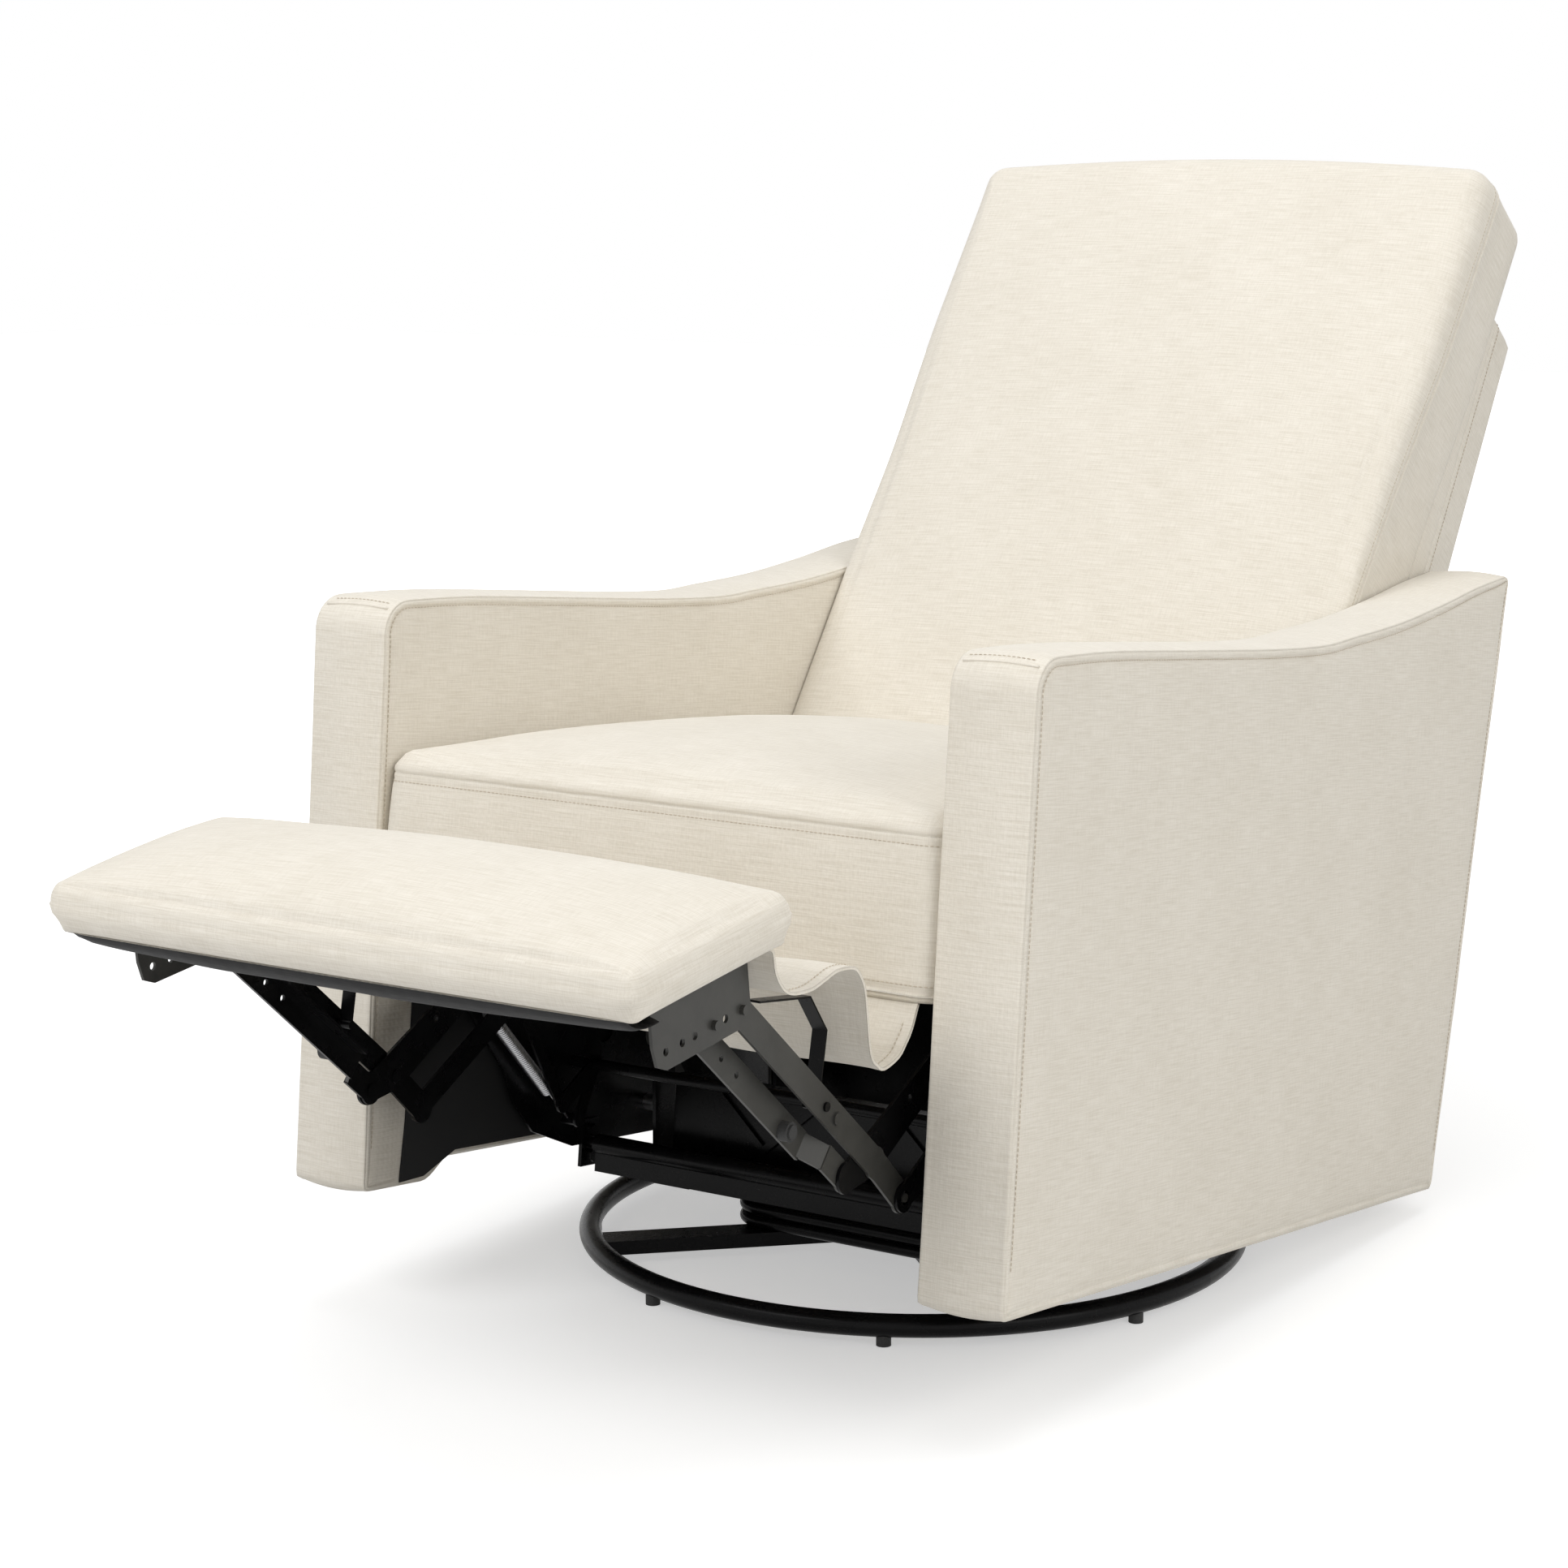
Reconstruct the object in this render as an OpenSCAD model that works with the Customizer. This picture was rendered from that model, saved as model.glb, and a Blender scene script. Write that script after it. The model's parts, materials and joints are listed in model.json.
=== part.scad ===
// Swivel recliner with a gliding base and a folding footrest, shown reclined.
// The origin is on the floor at the centre of the base ring. The sitter faces -Y.
// Left and right are the sitter's: left is +X.

/* [Base ring and swivel] */
// Outer diameter of the base ring
ring_d = 668; // [620:1:720]
// Diameter of the ring's tube
ring_tube_d = 22; // [18:0.5:25]
// Height of the rubber feet
foot_h = 8; // [6:0.5:14]
// Diameter of a rubber foot
foot_d = 14; // [10:0.5:18]
// Width of the flattened cross tubes
crossbar_w = 34; // [24:1:44]
// Height of the flattened cross tubes
crossbar_h = 14; // [10:0.5:15]
// Width of the swivel plates, side to side
swivel_w = 300; // [270:1:320]
// Depth of the swivel plates, front to back
swivel_l = 230; // [220:1:260]
// Thickness of the swivel plates
swivel_plate_t = 3; // [2:0.5:4]
// Diameter of the rolled rim on each swivel plate
rim_d = 12; // [11:0.5:14]
// Diameter of the swivel balls
ball_d = 9; // [7:0.5:10]
// Radius of the ball race
race_r = 85; // [70:1:92]
// Diameter of the centre bolt
king_bolt_d = 12; // [8:0.5:16]

/* [Glide] */
// Height of the upper glide pivots over the floor
glide_pivot_h = 205; // [195:1:215]
// Distance from the centre to each upper glide pivot
glide_pivot_y = 108.5; // [100:0.5:115]
// Length of the swing links between pivots
swing_link_len = 110; // [108:0.5:112]
// Angle of the front swing link from straight down, at rest
front_swing_angle = 33; // [31:0.5:35]
// Angle of the rear swing link from straight down, at rest
rear_swing_angle = 1; // [0:0.5:2]
// Width of the swing links
swing_link_w = 28; // [22:1:32]
// Diameter of the glide pins
glide_pin_d = 10; // [8:0.5:12]

/* [Chair body] */
// Backward pitch of the whole chair body at rest
body_pitch = 6.35; // [6:0.05:6.7]
// Width between the two arms
seat_gap = 606; // [600:1:630]
// Thickness of an arm
arm_w = 84.5; // [70:0.5:100]
// Front face of the arms
arm_front_y = -475; // [-485:1:-470]
// Bottom of the arms
arm_bottom_z = 66; // [60:1:75]
// Top of the arms at the front
arm_top_z = 628; // [610:1:650]
// Rise of the arm top towards the rear
arm_rise = 74; // [50:1:90]
// Thickness of the seat boards and rails
board_t = 22; // [16:1:24]
// Underside of the seat frame
seat_frame_z = 338; // [336:1:342]
// Height of the seat frame
seat_frame_h = 54; // [46:1:58]
// Height of the seat cushion at its seam
seat_cushion_h = 70; // [60:1:90]
// Crown of the seat cushion over its seam
seat_crown = 62; // [20:1:70]
// Gap between upholstered pieces and what they lie beside
soft_gap = 0.3; // [0.3:0.1:1]

/* [Back] */
// Angle of the back cushion's face from upright, at rest
back_angle = 29.3; // [26:0.1:32]
// Height of the back cushion
back_cushion_h = 780; // [740:1:800]
// Thickness of the back cushion at its edge
back_cushion_t = 126; // [110:1:140]
// Crown of the back cushion over its face
back_crown = 22; // [5:1:35]
// Clearance between the back and each arm
back_side_gap = 3; // [2:0.5:8]
// Thickness of the outer back at its top
back_shell_t = 74; // [60:1:80]
// Thickness of the outer back at its foot
back_shell_foot_t = 116; // [80:1:124]
// Height of the outer back
back_shell_h = 622; // [580:1:640]

/* [Footrest] */
// Width of the footrest pad
pad_w = 602; // [560:1:620]
// Depth of the footrest pad
pad_l = 218; // [200:1:225]
// Thickness of the footrest pad at its edge
pad_t = 42; // [36:1:50]
// Crown of the footrest pad over its edge
pad_crown = 34; // [10:1:38]
// Thickness of the footrest board
pad_board_t = 12; // [10:1:15]
// Thickness of the linkage plates
link_t = 3; // [2.5:0.1:3.2]
// Width of the linkage plates
link_w = 28; // [24:1:30]
// Diameter of the linkage rivets
rivet_d = 8; // [6:0.5:9]
// Distance between the two pivots on the footrest bracket
bracket_pitch = 39; // [36:0.5:42]
// Length of the long links that carry the footrest
long_link_len = 267.9; // [260:0.1:272]
// Rise of the long links towards the footrest, at rest
long_link_rise = 34.05; // [33:0.05:35]
// Length of the upper link between its end pivots
upper_link_len = 271.2; // [270:0.1:273]
// Diameter of the drive tube across the chair
drive_tube_d = 12; // [10:0.5:13]
// Length of the drive cranks and of their pitch on the lower links
crank_len = 60; // [56:0.5:62]

/* [Assist springs] */
// Outer diameter of the assist springs
spring_d = 14; // [12:0.5:15]
// Wire diameter of the assist springs
spring_wire = 2.4; // [2:0.1:2.8]
// Length of the wound part of a spring
spring_len = 139; // [130:1:150]
// Number of curls in a spring
spring_curls = 26; // [16:1:28]

/* [Hidden] */
$fn = 48;

run_gap = 0.05;
neck = 0.9;
plate_gap = 0.3;
cut = 1;
black_paint = [0.10, 0.10, 0.11];
grey_paint = [0.42, 0.42, 0.43];
zinc = [0.75, 0.75, 0.77];
cream = [0.93, 0.90, 0.84];
wood = [0.74, 0.60, 0.42];
cambric = [0.12, 0.12, 0.13];
rubber = [0.15, 0.15, 0.15];

// Geometry helpers in the side view, where a point is [y, z]
function polar(angle) = [cos(angle), sin(angle)];
function arc(c, r, a0, a1, steps) =
    [for (i = [0 : steps]) c + r * polar(a0 + (a1 - a0) * i / steps)];
function pitched(p) = [p[0] * cos(body_pitch) + (p[1] - pitch_z) * sin(body_pitch),
    pitch_z - p[0] * sin(body_pitch) + (p[1] - pitch_z) * cos(body_pitch)];
function unpitched(p) = [p[0] * cos(body_pitch) - (p[1] - pitch_z) * sin(body_pitch),
    pitch_z + p[0] * sin(body_pitch) + (p[1] - pitch_z) * cos(body_pitch)];
function cross_path(points, i) = points[min(i + 1, len(points) - 1)] - points[max(i - 1, 0)];
function unit(v) = v / norm(v);

// Heights of the swivel, from the floor up
pitch_z = 200;
ring_z = foot_h + ring_tube_d / 2;
ring_r = ring_d / 2 - ring_tube_d / 2;
hub_z = ring_z + 4;
ball_z = hub_z + rim_d + 0.5;
hub_top_z = hub_z + 2 * rim_d + 1;
rim_corner_r = 40;
race_w = 26;
race_clearance = 0.1;
ball_count = 24;
bar_t = 6;
bar_w = 45;
bar_y = 84;
bar_x = 218;
foot_count = 8;
foot_offset_angle = -18;

// Glide pivots on the floor's frame, and the same pins in the chair's own frame
glide_front_pin = [-glide_pivot_y, glide_pivot_h]
    + swing_link_len * polar(front_swing_angle - 90);
glide_rear_pin = [glide_pivot_y, glide_pivot_h] + swing_link_len * polar(rear_swing_angle - 90);
front_pin = unpitched(glide_front_pin);
rear_pin = unpitched(glide_rear_pin);
post_x = 226;
pin_head_t = 3;
post_t = 4;
post_foot_z = hub_top_z + bar_t;
swing_x = post_x + post_t + 2 * pin_head_t;
rear_pin_clearance = 1.6;

// Layers of the linkage, as distances from the middle of the chair to each plate's inner face
arm_x = seat_gap / 2;
side_x = arm_x - 11;
layer = link_t + plate_gap;
drive_x = side_x - 24;
lower_x = drive_x - layer;
rear_x = lower_x - layer;
upper_x = rear_x - layer;
tip_x = upper_x - layer;
web_x = tip_x - 16;
spring_x = side_x - 11.5;

// Footrest pivots in the chair's frame, worked out from the fixed upper pivot
upper_pivot = [-299.4, 320.4];
lower_pivot = [-252.7, 279.4];
upper_link_dip = 32.17;
pad_dip = 13.3;
knee_tail = [46, -35.5];
tip_pivot = upper_pivot - upper_link_len * polar(upper_link_dip);
knee_pivot = tip_pivot + bracket_pitch * polar(pad_dip);
front_pad_pivot = tip_pivot + long_link_len * polar(180 - long_link_rise);
rear_pad_pivot = knee_pivot + long_link_len * polar(180 - long_link_rise);
lower_knee = knee_pivot + knee_tail;
loop_clearance = 2.3;
drive_axis = [-170, 163];
lower_dir = unit(lower_knee - lower_pivot);
drive_hole = lower_pivot + crank_len * lower_dir;
crank_end = drive_axis + crank_len * lower_dir;
spring_fixed = [-365, 258];
spring_hook = [-192, 110];
rivet_head = 1;

// The back hinge and the back's own frame: up along the cushion, and forward out of it
back_hinge = [236, 396];
back_w = seat_gap - 2 * back_side_gap;
back_origin = [160, 452];
back_up = [sin(back_angle), cos(back_angle)];
back_out = [-cos(back_angle), sin(back_angle)];
shell_low = 62;
shell_pocket = 28;
shell_wall = 12;

// Seat sizes
seat_half = arm_x - 4;
seat_front = arm_front_y + 7;
seat_rear = 158;
frame_rear = 200;
rail_y = -141;
rail_z = 78;

// A plate cut from a side-view outline, from x0 outwards
module plate(x0, t) {
    translate([x0, 0, 0]) rotate([90, 0, 90]) linear_extrude(t) children();
}

module at(p) {
    translate([p[0], p[1]]) children();
}

// A round bar across the chair at side-view point p
module cross_bar(p, d, x0, x1) {
    translate([x0, p[0], p[1]]) rotate([0, 90, 0]) cylinder(d = d, h = x1 - x0);
}

module bar_outline(p, q, w) {
    span = q - p;
    at(p) circle(d = w);
    at(q) circle(d = w);
    at(p) rotate(atan2(span[1], span[0])) translate([0, -neck * w / 2])
        square([norm(span), neck * w]);
}

module holes(points, d) {
    for (p = points) at(p) circle(d = d);
}

module rounded_rect(w, l, r) {
    for (sx = [-1, 1]) for (sy = [-1, 1])
        translate([sx * (w / 2 - r), sy * (l / 2 - r)]) circle(r = r);
    square([w - 2 * r, l], center = true);
    square([w, l - 2 * r], center = true);
}

// Puts chair parts, drawn level, at the body's pitch
module chair() {
    translate([0, 0, pitch_z]) rotate([-body_pitch, 0, 0]) translate([0, 0, -pitch_z]) children();
}

module other_side() {
    mirror([1, 0, 0]) children();
}

// A rivet whose shank runs out from x0 to x1 and whose heads stand proud
module rivet(p, x0, x1) {
    cross_bar(p, rivet_d, x0, x1);
    cross_bar(p, rivet_d + 5, x0 - rivet_head, x0);
}

// A boxed cushion as a closed surface of triangles: flat below, rolled edges, crowned above.
// It lies on z = 0 with its middle at the origin; rows hold [inset, height, share of crown].
plan_power = 0.22;
side_draw = 3;
function spow(v, p) = sign(v) * pow(abs(v), p);
function quarter(r, a) = [r - r * sin(a), r - r * cos(a)];
function cushion_rows(h, low_r, top_r) = concat(
    [for (a = [0, 45, 90]) concat(quarter(low_r, a), 0)],
    [[side_draw, h / 2, 0]],
    [for (a = [90, 60, 30, 0]) [quarter(top_r, a)[0], h - quarter(top_r, a)[1], 0]]);
function cushion_point(w, l, inset, z, s, crown, a) =
    let (x = s * (w / 2 - inset) * spow(cos(a), plan_power))
    let (y = s * (l / 2 - inset) * spow(sin(a), plan_power))
    let (fx = 1 - pow(x / (w / 2 - inset), 2))
    let (fy = 1 - pow(y / (l / 2 - inset), 2))
    [x, y, z + (s < 1 ? crown * pow(fx * fy, 0.7) : 0)];
module soft_block(w, l, h, crown, top_r = 18, around = 32) {
    edge_rows = cushion_rows(h, 8, top_r);
    edge = [for (r = edge_rows) for (i = [0 : around - 1])
        cushion_point(w, l, r[0], r[1], 1, 0, 360 * (i + 0.5) / around)];
    top_rings = [for (s = [0.92, 0.78, 0.6, 0.35]) for (i = [0 : around - 1])
        cushion_point(w, l, top_r, h, s, crown, 360 * (i + 0.5) / around)];
    points = concat([[0, 0, 0]], edge, top_rings, [[0, 0, h + crown]]);
    top = len(points) - 1;
    bands = (top - 1) / around - 1;
    low_faces = [for (i = [0 : around - 1]) [0, 1 + i, 1 + (i + 1) % around]];
    side_a = [for (j = [0 : bands - 1]) for (i = [0 : around - 1])
        [1 + j * around + i, 1 + (j + 1) * around + i, 1 + (j + 1) * around + (i + 1) % around]];
    side_b = [for (j = [0 : bands - 1]) for (i = [0 : around - 1])
        [1 + j * around + i, 1 + (j + 1) * around + (i + 1) % around,
            1 + j * around + (i + 1) % around]];
    last = 1 + bands * around;
    top_faces = [for (i = [0 : around - 1]) [top, last + (i + 1) % around, last + i]];
    polyhedron(points, concat(low_faces, side_a, side_b, top_faces), convexity = 4);
}

// The base ring rests on rubber feet
module ring_tube(d) {
    translate([0, 0, ring_z]) rotate_extrude($fn = 96) translate([ring_r, 0]) circle(d = d);
}

module base_ring() {
    color(black_paint) ring_tube(ring_tube_d);
}

module base_crossbars() {
    color(black_paint) difference() {
        translate([0, 0, hub_z - crossbar_h]) for (a = [45, 135])
            rotate(a) translate([-ring_r, -crossbar_w / 2, 0])
                cube([2 * ring_r, crossbar_w, crossbar_h]);
        ring_tube(ring_tube_d + 2 * soft_gap);
        cylinder(d = king_bolt_d, h = hub_z + cut);
    }
}

module base_feet() {
    color(rubber) difference() {
        for (i = [0 : foot_count - 1]) rotate(foot_offset_angle + 360 * i / foot_count)
            translate([ring_r, 0, 0]) cylinder(d = foot_d, h = foot_h + 3);
        ring_tube(ring_tube_d + 0.2);
    }
}

// A rolled rim round a swivel plate, standing from z = 0 to its diameter
module rolled_rim() {
    half_w = swivel_w / 2 - rim_d / 2;
    half_l = swivel_l / 2 - rim_d / 2;
    r = rim_corner_r - rim_d / 2;
    translate([0, 0, rim_d / 2]) {
        for (s = [-1, 1]) {
            translate([r - half_w, s * half_l, 0]) rotate([0, 90, 0])
                cylinder(d = rim_d, h = 2 * (half_w - r));
            translate([s * half_w, half_l - r, 0]) rotate([90, 0, 0])
                cylinder(d = rim_d, h = 2 * (half_l - r));
        }
        for (a = [0 : 3]) {
            sx = (a == 0 || a == 3) ? 1 : -1;
            sy = a < 2 ? 1 : -1;
            translate([sx * (half_w - r), sy * (half_l - r), 0]) rotate(90 * a)
                rotate_extrude(angle = 90) translate([r, 0]) circle(d = rim_d);
        }
    }
}

// One swivel plate, lying on z = 0, with its half of the ball race on top
module swivel_plate() {
    race_h = ball_z - hub_z - 0.75;
    difference() {
        union() {
            linear_extrude(swivel_plate_t)
                rounded_rect(swivel_w - rim_d, swivel_l - rim_d, rim_corner_r - rim_d / 2);
            rolled_rim();
            difference() {
                cylinder(r = race_r + race_w / 2, h = race_h, $fn = 96);
                translate([0, 0, -cut]) cylinder(r = race_r - race_w / 2, h = race_h + 2 * cut,
                    $fn = 96);
            }
        }
        translate([0, 0, ball_z - hub_z]) rotate_extrude($fn = 96) translate([race_r, 0])
            circle(d = ball_d + 2 * race_clearance);
        translate([0, 0, -cut]) cylinder(d = king_bolt_d + 2 * run_gap, h = rim_d + 2 * cut);
    }
}

module swivel_lower_plate() {
    color(black_paint) translate([0, 0, hub_z]) swivel_plate();
}

module swivel_upper_plate() {
    color(black_paint) translate([0, 0, hub_top_z]) mirror([0, 0, 1]) swivel_plate();
}

module swivel_balls() {
    color(zinc) for (i = [0 : ball_count - 1]) rotate(360 * i / ball_count)
        translate([race_r, 0, ball_z]) sphere(d = ball_d);
}

module ball_cage() {
    color(zinc) translate([0, 0, ball_z - 0.5]) difference() {
        cylinder(r = race_r + race_w / 2, h = 1, $fn = 96);
        translate([0, 0, -cut]) cylinder(r = race_r - race_w / 2, h = 1 + 2 * cut, $fn = 96);
        for (i = [0 : ball_count - 1]) rotate(360 * i / ball_count)
            translate([race_r, 0, -cut]) cylinder(d = ball_d + 0.4, h = 1 + 2 * cut);
    }
}

module king_bolt() {
    washer_t = 2;
    color(zinc) {
        translate([0, 0, hub_z - crossbar_h - 6]) cylinder(d = 20, h = 6, $fn = 6);
        translate([0, 0, hub_z - crossbar_h]) cylinder(d = king_bolt_d,
            h = hub_top_z + washer_t - hub_z + crossbar_h);
        translate([0, 0, hub_top_z + 0.1]) cylinder(d = 26, h = washer_t);
        translate([0, 0, hub_top_z + washer_t]) cylinder(d = 19, h = 8, $fn = 6);
    }
}

// The turntable carries two posts a side, and the chair swings from them on short links
module turntable_bars() {
    color(black_paint) for (s = [-1, 1]) translate([0, s * bar_y, hub_top_z])
        linear_extrude(bar_t) rounded_rect(2 * bar_x, bar_w, bar_w / 2 - 2);
}

module glide_post() {
    post_w = 34;
    rail_h = 24;
    flange_w = 40;
    reach = glide_pivot_y + post_w / 2;
    plate(post_x, post_t) difference() {
        union() {
            translate([-reach, post_foot_z]) square([2 * reach, rail_h]);
            for (s = [-1, 1]) {
                translate([s * glide_pivot_y - post_w / 2, post_foot_z])
                    square([post_w, glide_pivot_h - post_foot_z]);
                at([s * glide_pivot_y, glide_pivot_h]) circle(d = post_w);
            }
        }
        for (s = [-1, 1]) at([s * glide_pivot_y, glide_pivot_h]) circle(d = glide_pin_d);
    }
    translate([post_x - flange_w, -reach, post_foot_z]) cube([flange_w, 2 * reach, post_t]);
}

module glide_post_left() {
    color(black_paint) glide_post();
}

module glide_post_right() {
    color(black_paint) other_side() glide_post();
}

glide_head_d = glide_pin_d + 7;
module glide_upper_pins() {
    swing_out = swing_x + post_t + plate_gap;
    color(zinc) for (side = [0, 1]) mirror([side, 0, 0]) for (s = [-1, 1]) {
        p = [s * glide_pivot_y, glide_pivot_h];
        cross_bar(p, glide_pin_d, post_x, swing_out);
        cross_bar(p, glide_head_d, post_x - pin_head_t, post_x);
        cross_bar(p, glide_head_d, post_x + post_t, swing_x - plate_gap);
        cross_bar(p, glide_head_d, swing_out, swing_out + pin_head_t);
    }
}

module swing_link(p, q, hole) {
    plate(swing_x, post_t) difference() {
        bar_outline(p, q, swing_link_w);
        at(p) circle(d = glide_pin_d + 2 * run_gap);
        at(q) circle(d = hole);
    }
}

front_hole = glide_pin_d + 2 * run_gap;
rear_hole = glide_pin_d + 2 * rear_pin_clearance;
module front_swing_link_left() {
    color(grey_paint) swing_link([-glide_pivot_y, glide_pivot_h], glide_front_pin, front_hole);
}

module front_swing_link_right() {
    color(grey_paint) other_side()
        swing_link([-glide_pivot_y, glide_pivot_h], glide_front_pin, front_hole);
}

module rear_swing_link_left() {
    color(grey_paint) swing_link([glide_pivot_y, glide_pivot_h], glide_rear_pin, rear_hole);
}

module rear_swing_link_right() {
    color(grey_paint) other_side()
        swing_link([glide_pivot_y, glide_pivot_h], glide_rear_pin, rear_hole);
}

module glide_lower_pins() {
    color(zinc) chair() for (side = [0, 1]) mirror([side, 0, 0]) for (p = [front_pin, rear_pin]) {
        cross_bar(p, glide_pin_d, swing_x - plate_gap, side_x + link_t);
        cross_bar(p, glide_head_d, swing_x - plate_gap - pin_head_t, swing_x - plate_gap);
        cross_bar(p, glide_head_d, swing_x + post_t + plate_gap, side_x);
    }
}

// The side plates carry the seat, the arms and the footrest linkage
module side_outline() {
    polygon([[-385, seat_frame_z], [-385, 246], [-352, 236], [-285, 165], [-265, 130],
        [-232, 98], [-165, 76], [150, 76], [190, 110], [236, 250], [256, 320], back_hinge + [20, 0],
        back_hinge - [20, 0], [frame_rear + 4, seat_frame_z]]);
    at(back_hinge) circle(d = 40);
}

module side_plate() {
    flange_w = 20;
    flange_y = -380;
    plate(side_x, link_t) difference() {
        side_outline();
        holes([upper_pivot, lower_pivot], rivet_d);
        at(drive_axis) circle(d = drive_tube_d + 2 * run_gap);
        holes([front_pin, rear_pin], glide_pin_d);
        at(back_hinge) circle(d = rivet_d + 2);
        holes([[-120, 190], [-40, 190], [40, 190]], 26);
        holes(rail_bolt_points, rail_bolt_d + 2 * run_gap);
        holes(arm_bolt_points, arm_bolt_d + 2 * run_gap);
        holes([[-245, 190], [150, 200], [150, 260]], 7);
    }
    difference() {
        translate([side_x - flange_w, flange_y, seat_frame_z - link_t])
            cube([flange_w + link_t, frame_rear - flange_y, link_t]);
        plate(upper_x - cut, drive_x - upper_x) at(upper_pivot) circle(d = link_w + 8);
    }
    hook_t = link_t;
    spring_hole = spring_wire + 0.6;
    difference() {
        rotate_about(spring_fixed, spring_angle) translate([spring_x - 6, -hook_t, -6])
            cube([side_x - spring_x + 6 + link_t, hook_t, 12]);
        spring_axis_hole(spring_hole);
    }
}

spring_angle = atan2(spring_hook[1] - spring_fixed[1], spring_hook[0] - spring_fixed[0]);
module rotate_about(p, a) {
    translate([0, p[0], p[1]]) rotate([a, 0, 0]) children();
}

module spring_axis_hole(d) {
    rotate_about(spring_fixed, spring_angle) translate([spring_x, -20, 0]) rotate([-90, 0, 0])
        cylinder(d = d, h = norm(spring_hook - spring_fixed) + 40);
}

module side_plate_left() {
    color(black_paint) chair() side_plate();
}

module side_plate_right() {
    color(black_paint) chair() other_side() side_plate();
}

// A pressed rail with a round bead along its top, bolted to each side plate by an end tab
rail_tab_t = 4;
rail_bolt_d = 6;
rail_bolt_points = [for (s = [-1, 1]) [rail_y, rail_z + 13 * s]];
module front_cross_rail() {
    bead_d = 20;
    neck_d = 11;
    head_room = 10;
    web_t = 4;
    half = side_x - rail_tab_t;
    bead_half = half - head_room;
    color(black_paint) chair() {
        cross_bar([rail_y, rail_z], bead_d, -bead_half, bead_half);
        cross_bar([rail_y, rail_z], neck_d, -half, half);
        translate([-bead_half, rail_y - 3, rail_z - 26]) cube([2 * bead_half, web_t, 24]);
        translate([-bead_half, rail_y - 3, rail_z - 28]) cube([2 * bead_half, 26, 3]);
        for (side = [0, 1]) mirror([side, 0, 0]) plate(half, rail_tab_t) difference() {
            translate([rail_y - 13, rail_z - 24]) square([26, 48]);
            holes(rail_bolt_points, rail_bolt_d + 2 * run_gap);
        }
    }
}

rear_rail_y = 184;
rear_rail_z = 215;
// The rear rail carries an apron that hangs behind the glide posts
module rear_cross_rail() {
    size = 26;
    wall = 3;
    apron_half = side_x - 40;
    apron_low = 98;
    place = [0, rear_rail_y, rear_rail_z];
    color(black_paint) chair() translate(place) {
        difference() {
            translate([-side_x, 0, 0]) cube([2 * side_x, size, size]);
            translate([-side_x - cut, wall, wall])
                cube([2 * side_x + 2 * cut, size - 2 * wall, size - 2 * wall]);
        }
        translate([-apron_half, 0, apron_low - rear_rail_z])
            cube([2 * apron_half, wall, rear_rail_z - apron_low + wall]);
    }
}

module rail_bolts() {
    head_h = 6;
    tab_inner = side_x - rail_tab_t;
    color(black_paint) chair() for (side = [0, 1]) mirror([side, 0, 0])
        for (p = rail_bolt_points) {
            cross_bar(p, rail_bolt_d, tab_inner - head_h, side_x + link_t);
            translate([tab_inner - head_h - 0.05, p[0], p[1]]) rotate([0, 90, 0])
                cylinder(d = 13, h = head_h, $fn = 6);
        }
}

// Bolts through spacers that hold each arm to its side plate
arm_bolt_d = 8;
arm_spacer_d = 18;
arm_bolt_points = [[-330, 300], [190, 300], [40, 106]];
module arm_bolts() {
    color(zinc) chair() for (side = [0, 1]) mirror([side, 0, 0])
        for (p = arm_bolt_points) {
            cross_bar(p, arm_bolt_d, side_x - 4, arm_board_x + board_t);
            cross_bar(p, 14, side_x - 4, side_x);
            cross_bar(p, arm_spacer_d, side_x + link_t, arm_x - 0.1);
        }
}

// The stamped panel behind the rail, stiffened by two V-shaped ribs
module stamped_panel() {
    panel_y = -96;
    panel_t = 2;
    low = rail_z;
    high = 152;
    half = side_x - 76;
    foot_y = rail_y + 10 + plate_gap;
    rib_w = 8;
    module rib(x0) {
        translate([0, panel_y - panel_t, 0]) rotate([90, 0, 0]) linear_extrude(4) {
            bar_outline([x0, high - 12], [x0 + 55, low + 14], rib_w);
            bar_outline([x0 + 110, high - 12], [x0 + 55, low + 14], rib_w);
        }
    }
    color(black_paint) chair() {
        translate([-half, panel_y - panel_t, low]) cube([2 * half, panel_t, high - low]);
        translate([-half, panel_y - panel_t, high]) cube([2 * half, 22, panel_t]);
        for (s = [-1, 1]) translate([s * 150 - 20, foot_y, low])
            cube([40, panel_y - foot_y, panel_t]);
        for (x0 = [-160, 50]) rib(x0);
    }
}

module seat_frame() {
    color(wood) chair() translate([0, 0, seat_frame_z]) difference() {
        translate([-seat_half, seat_front, 0])
            cube([2 * seat_half, frame_rear - seat_front, seat_frame_h]);
        translate([-seat_half + board_t, seat_front + board_t, -cut])
            cube([2 * (seat_half - board_t), frame_rear - seat_front - 2 * board_t,
                seat_frame_h + 2 * cut]);
    }
}

// Flat zigzag springs from the front rail to the rear rail
module zigzag(y0, y1, amp, wire, bars) {
    step = (y1 - y0) / (bars + 1);
    for (i = [1 : bars]) translate([-amp, y0 + i * step - wire / 2]) square([2 * amp, wire]);
    for (i = [0 : bars]) {
        low = y0 + i * step - (i == 0 ? 0 : wire / 2);
        high = y0 + (i + 1) * step + (i == bars ? 0 : wire / 2);
        x = i % 2 == 0 ? -amp : amp - wire;
        translate([x, low]) square([wire, high - low]);
    }
}

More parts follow.
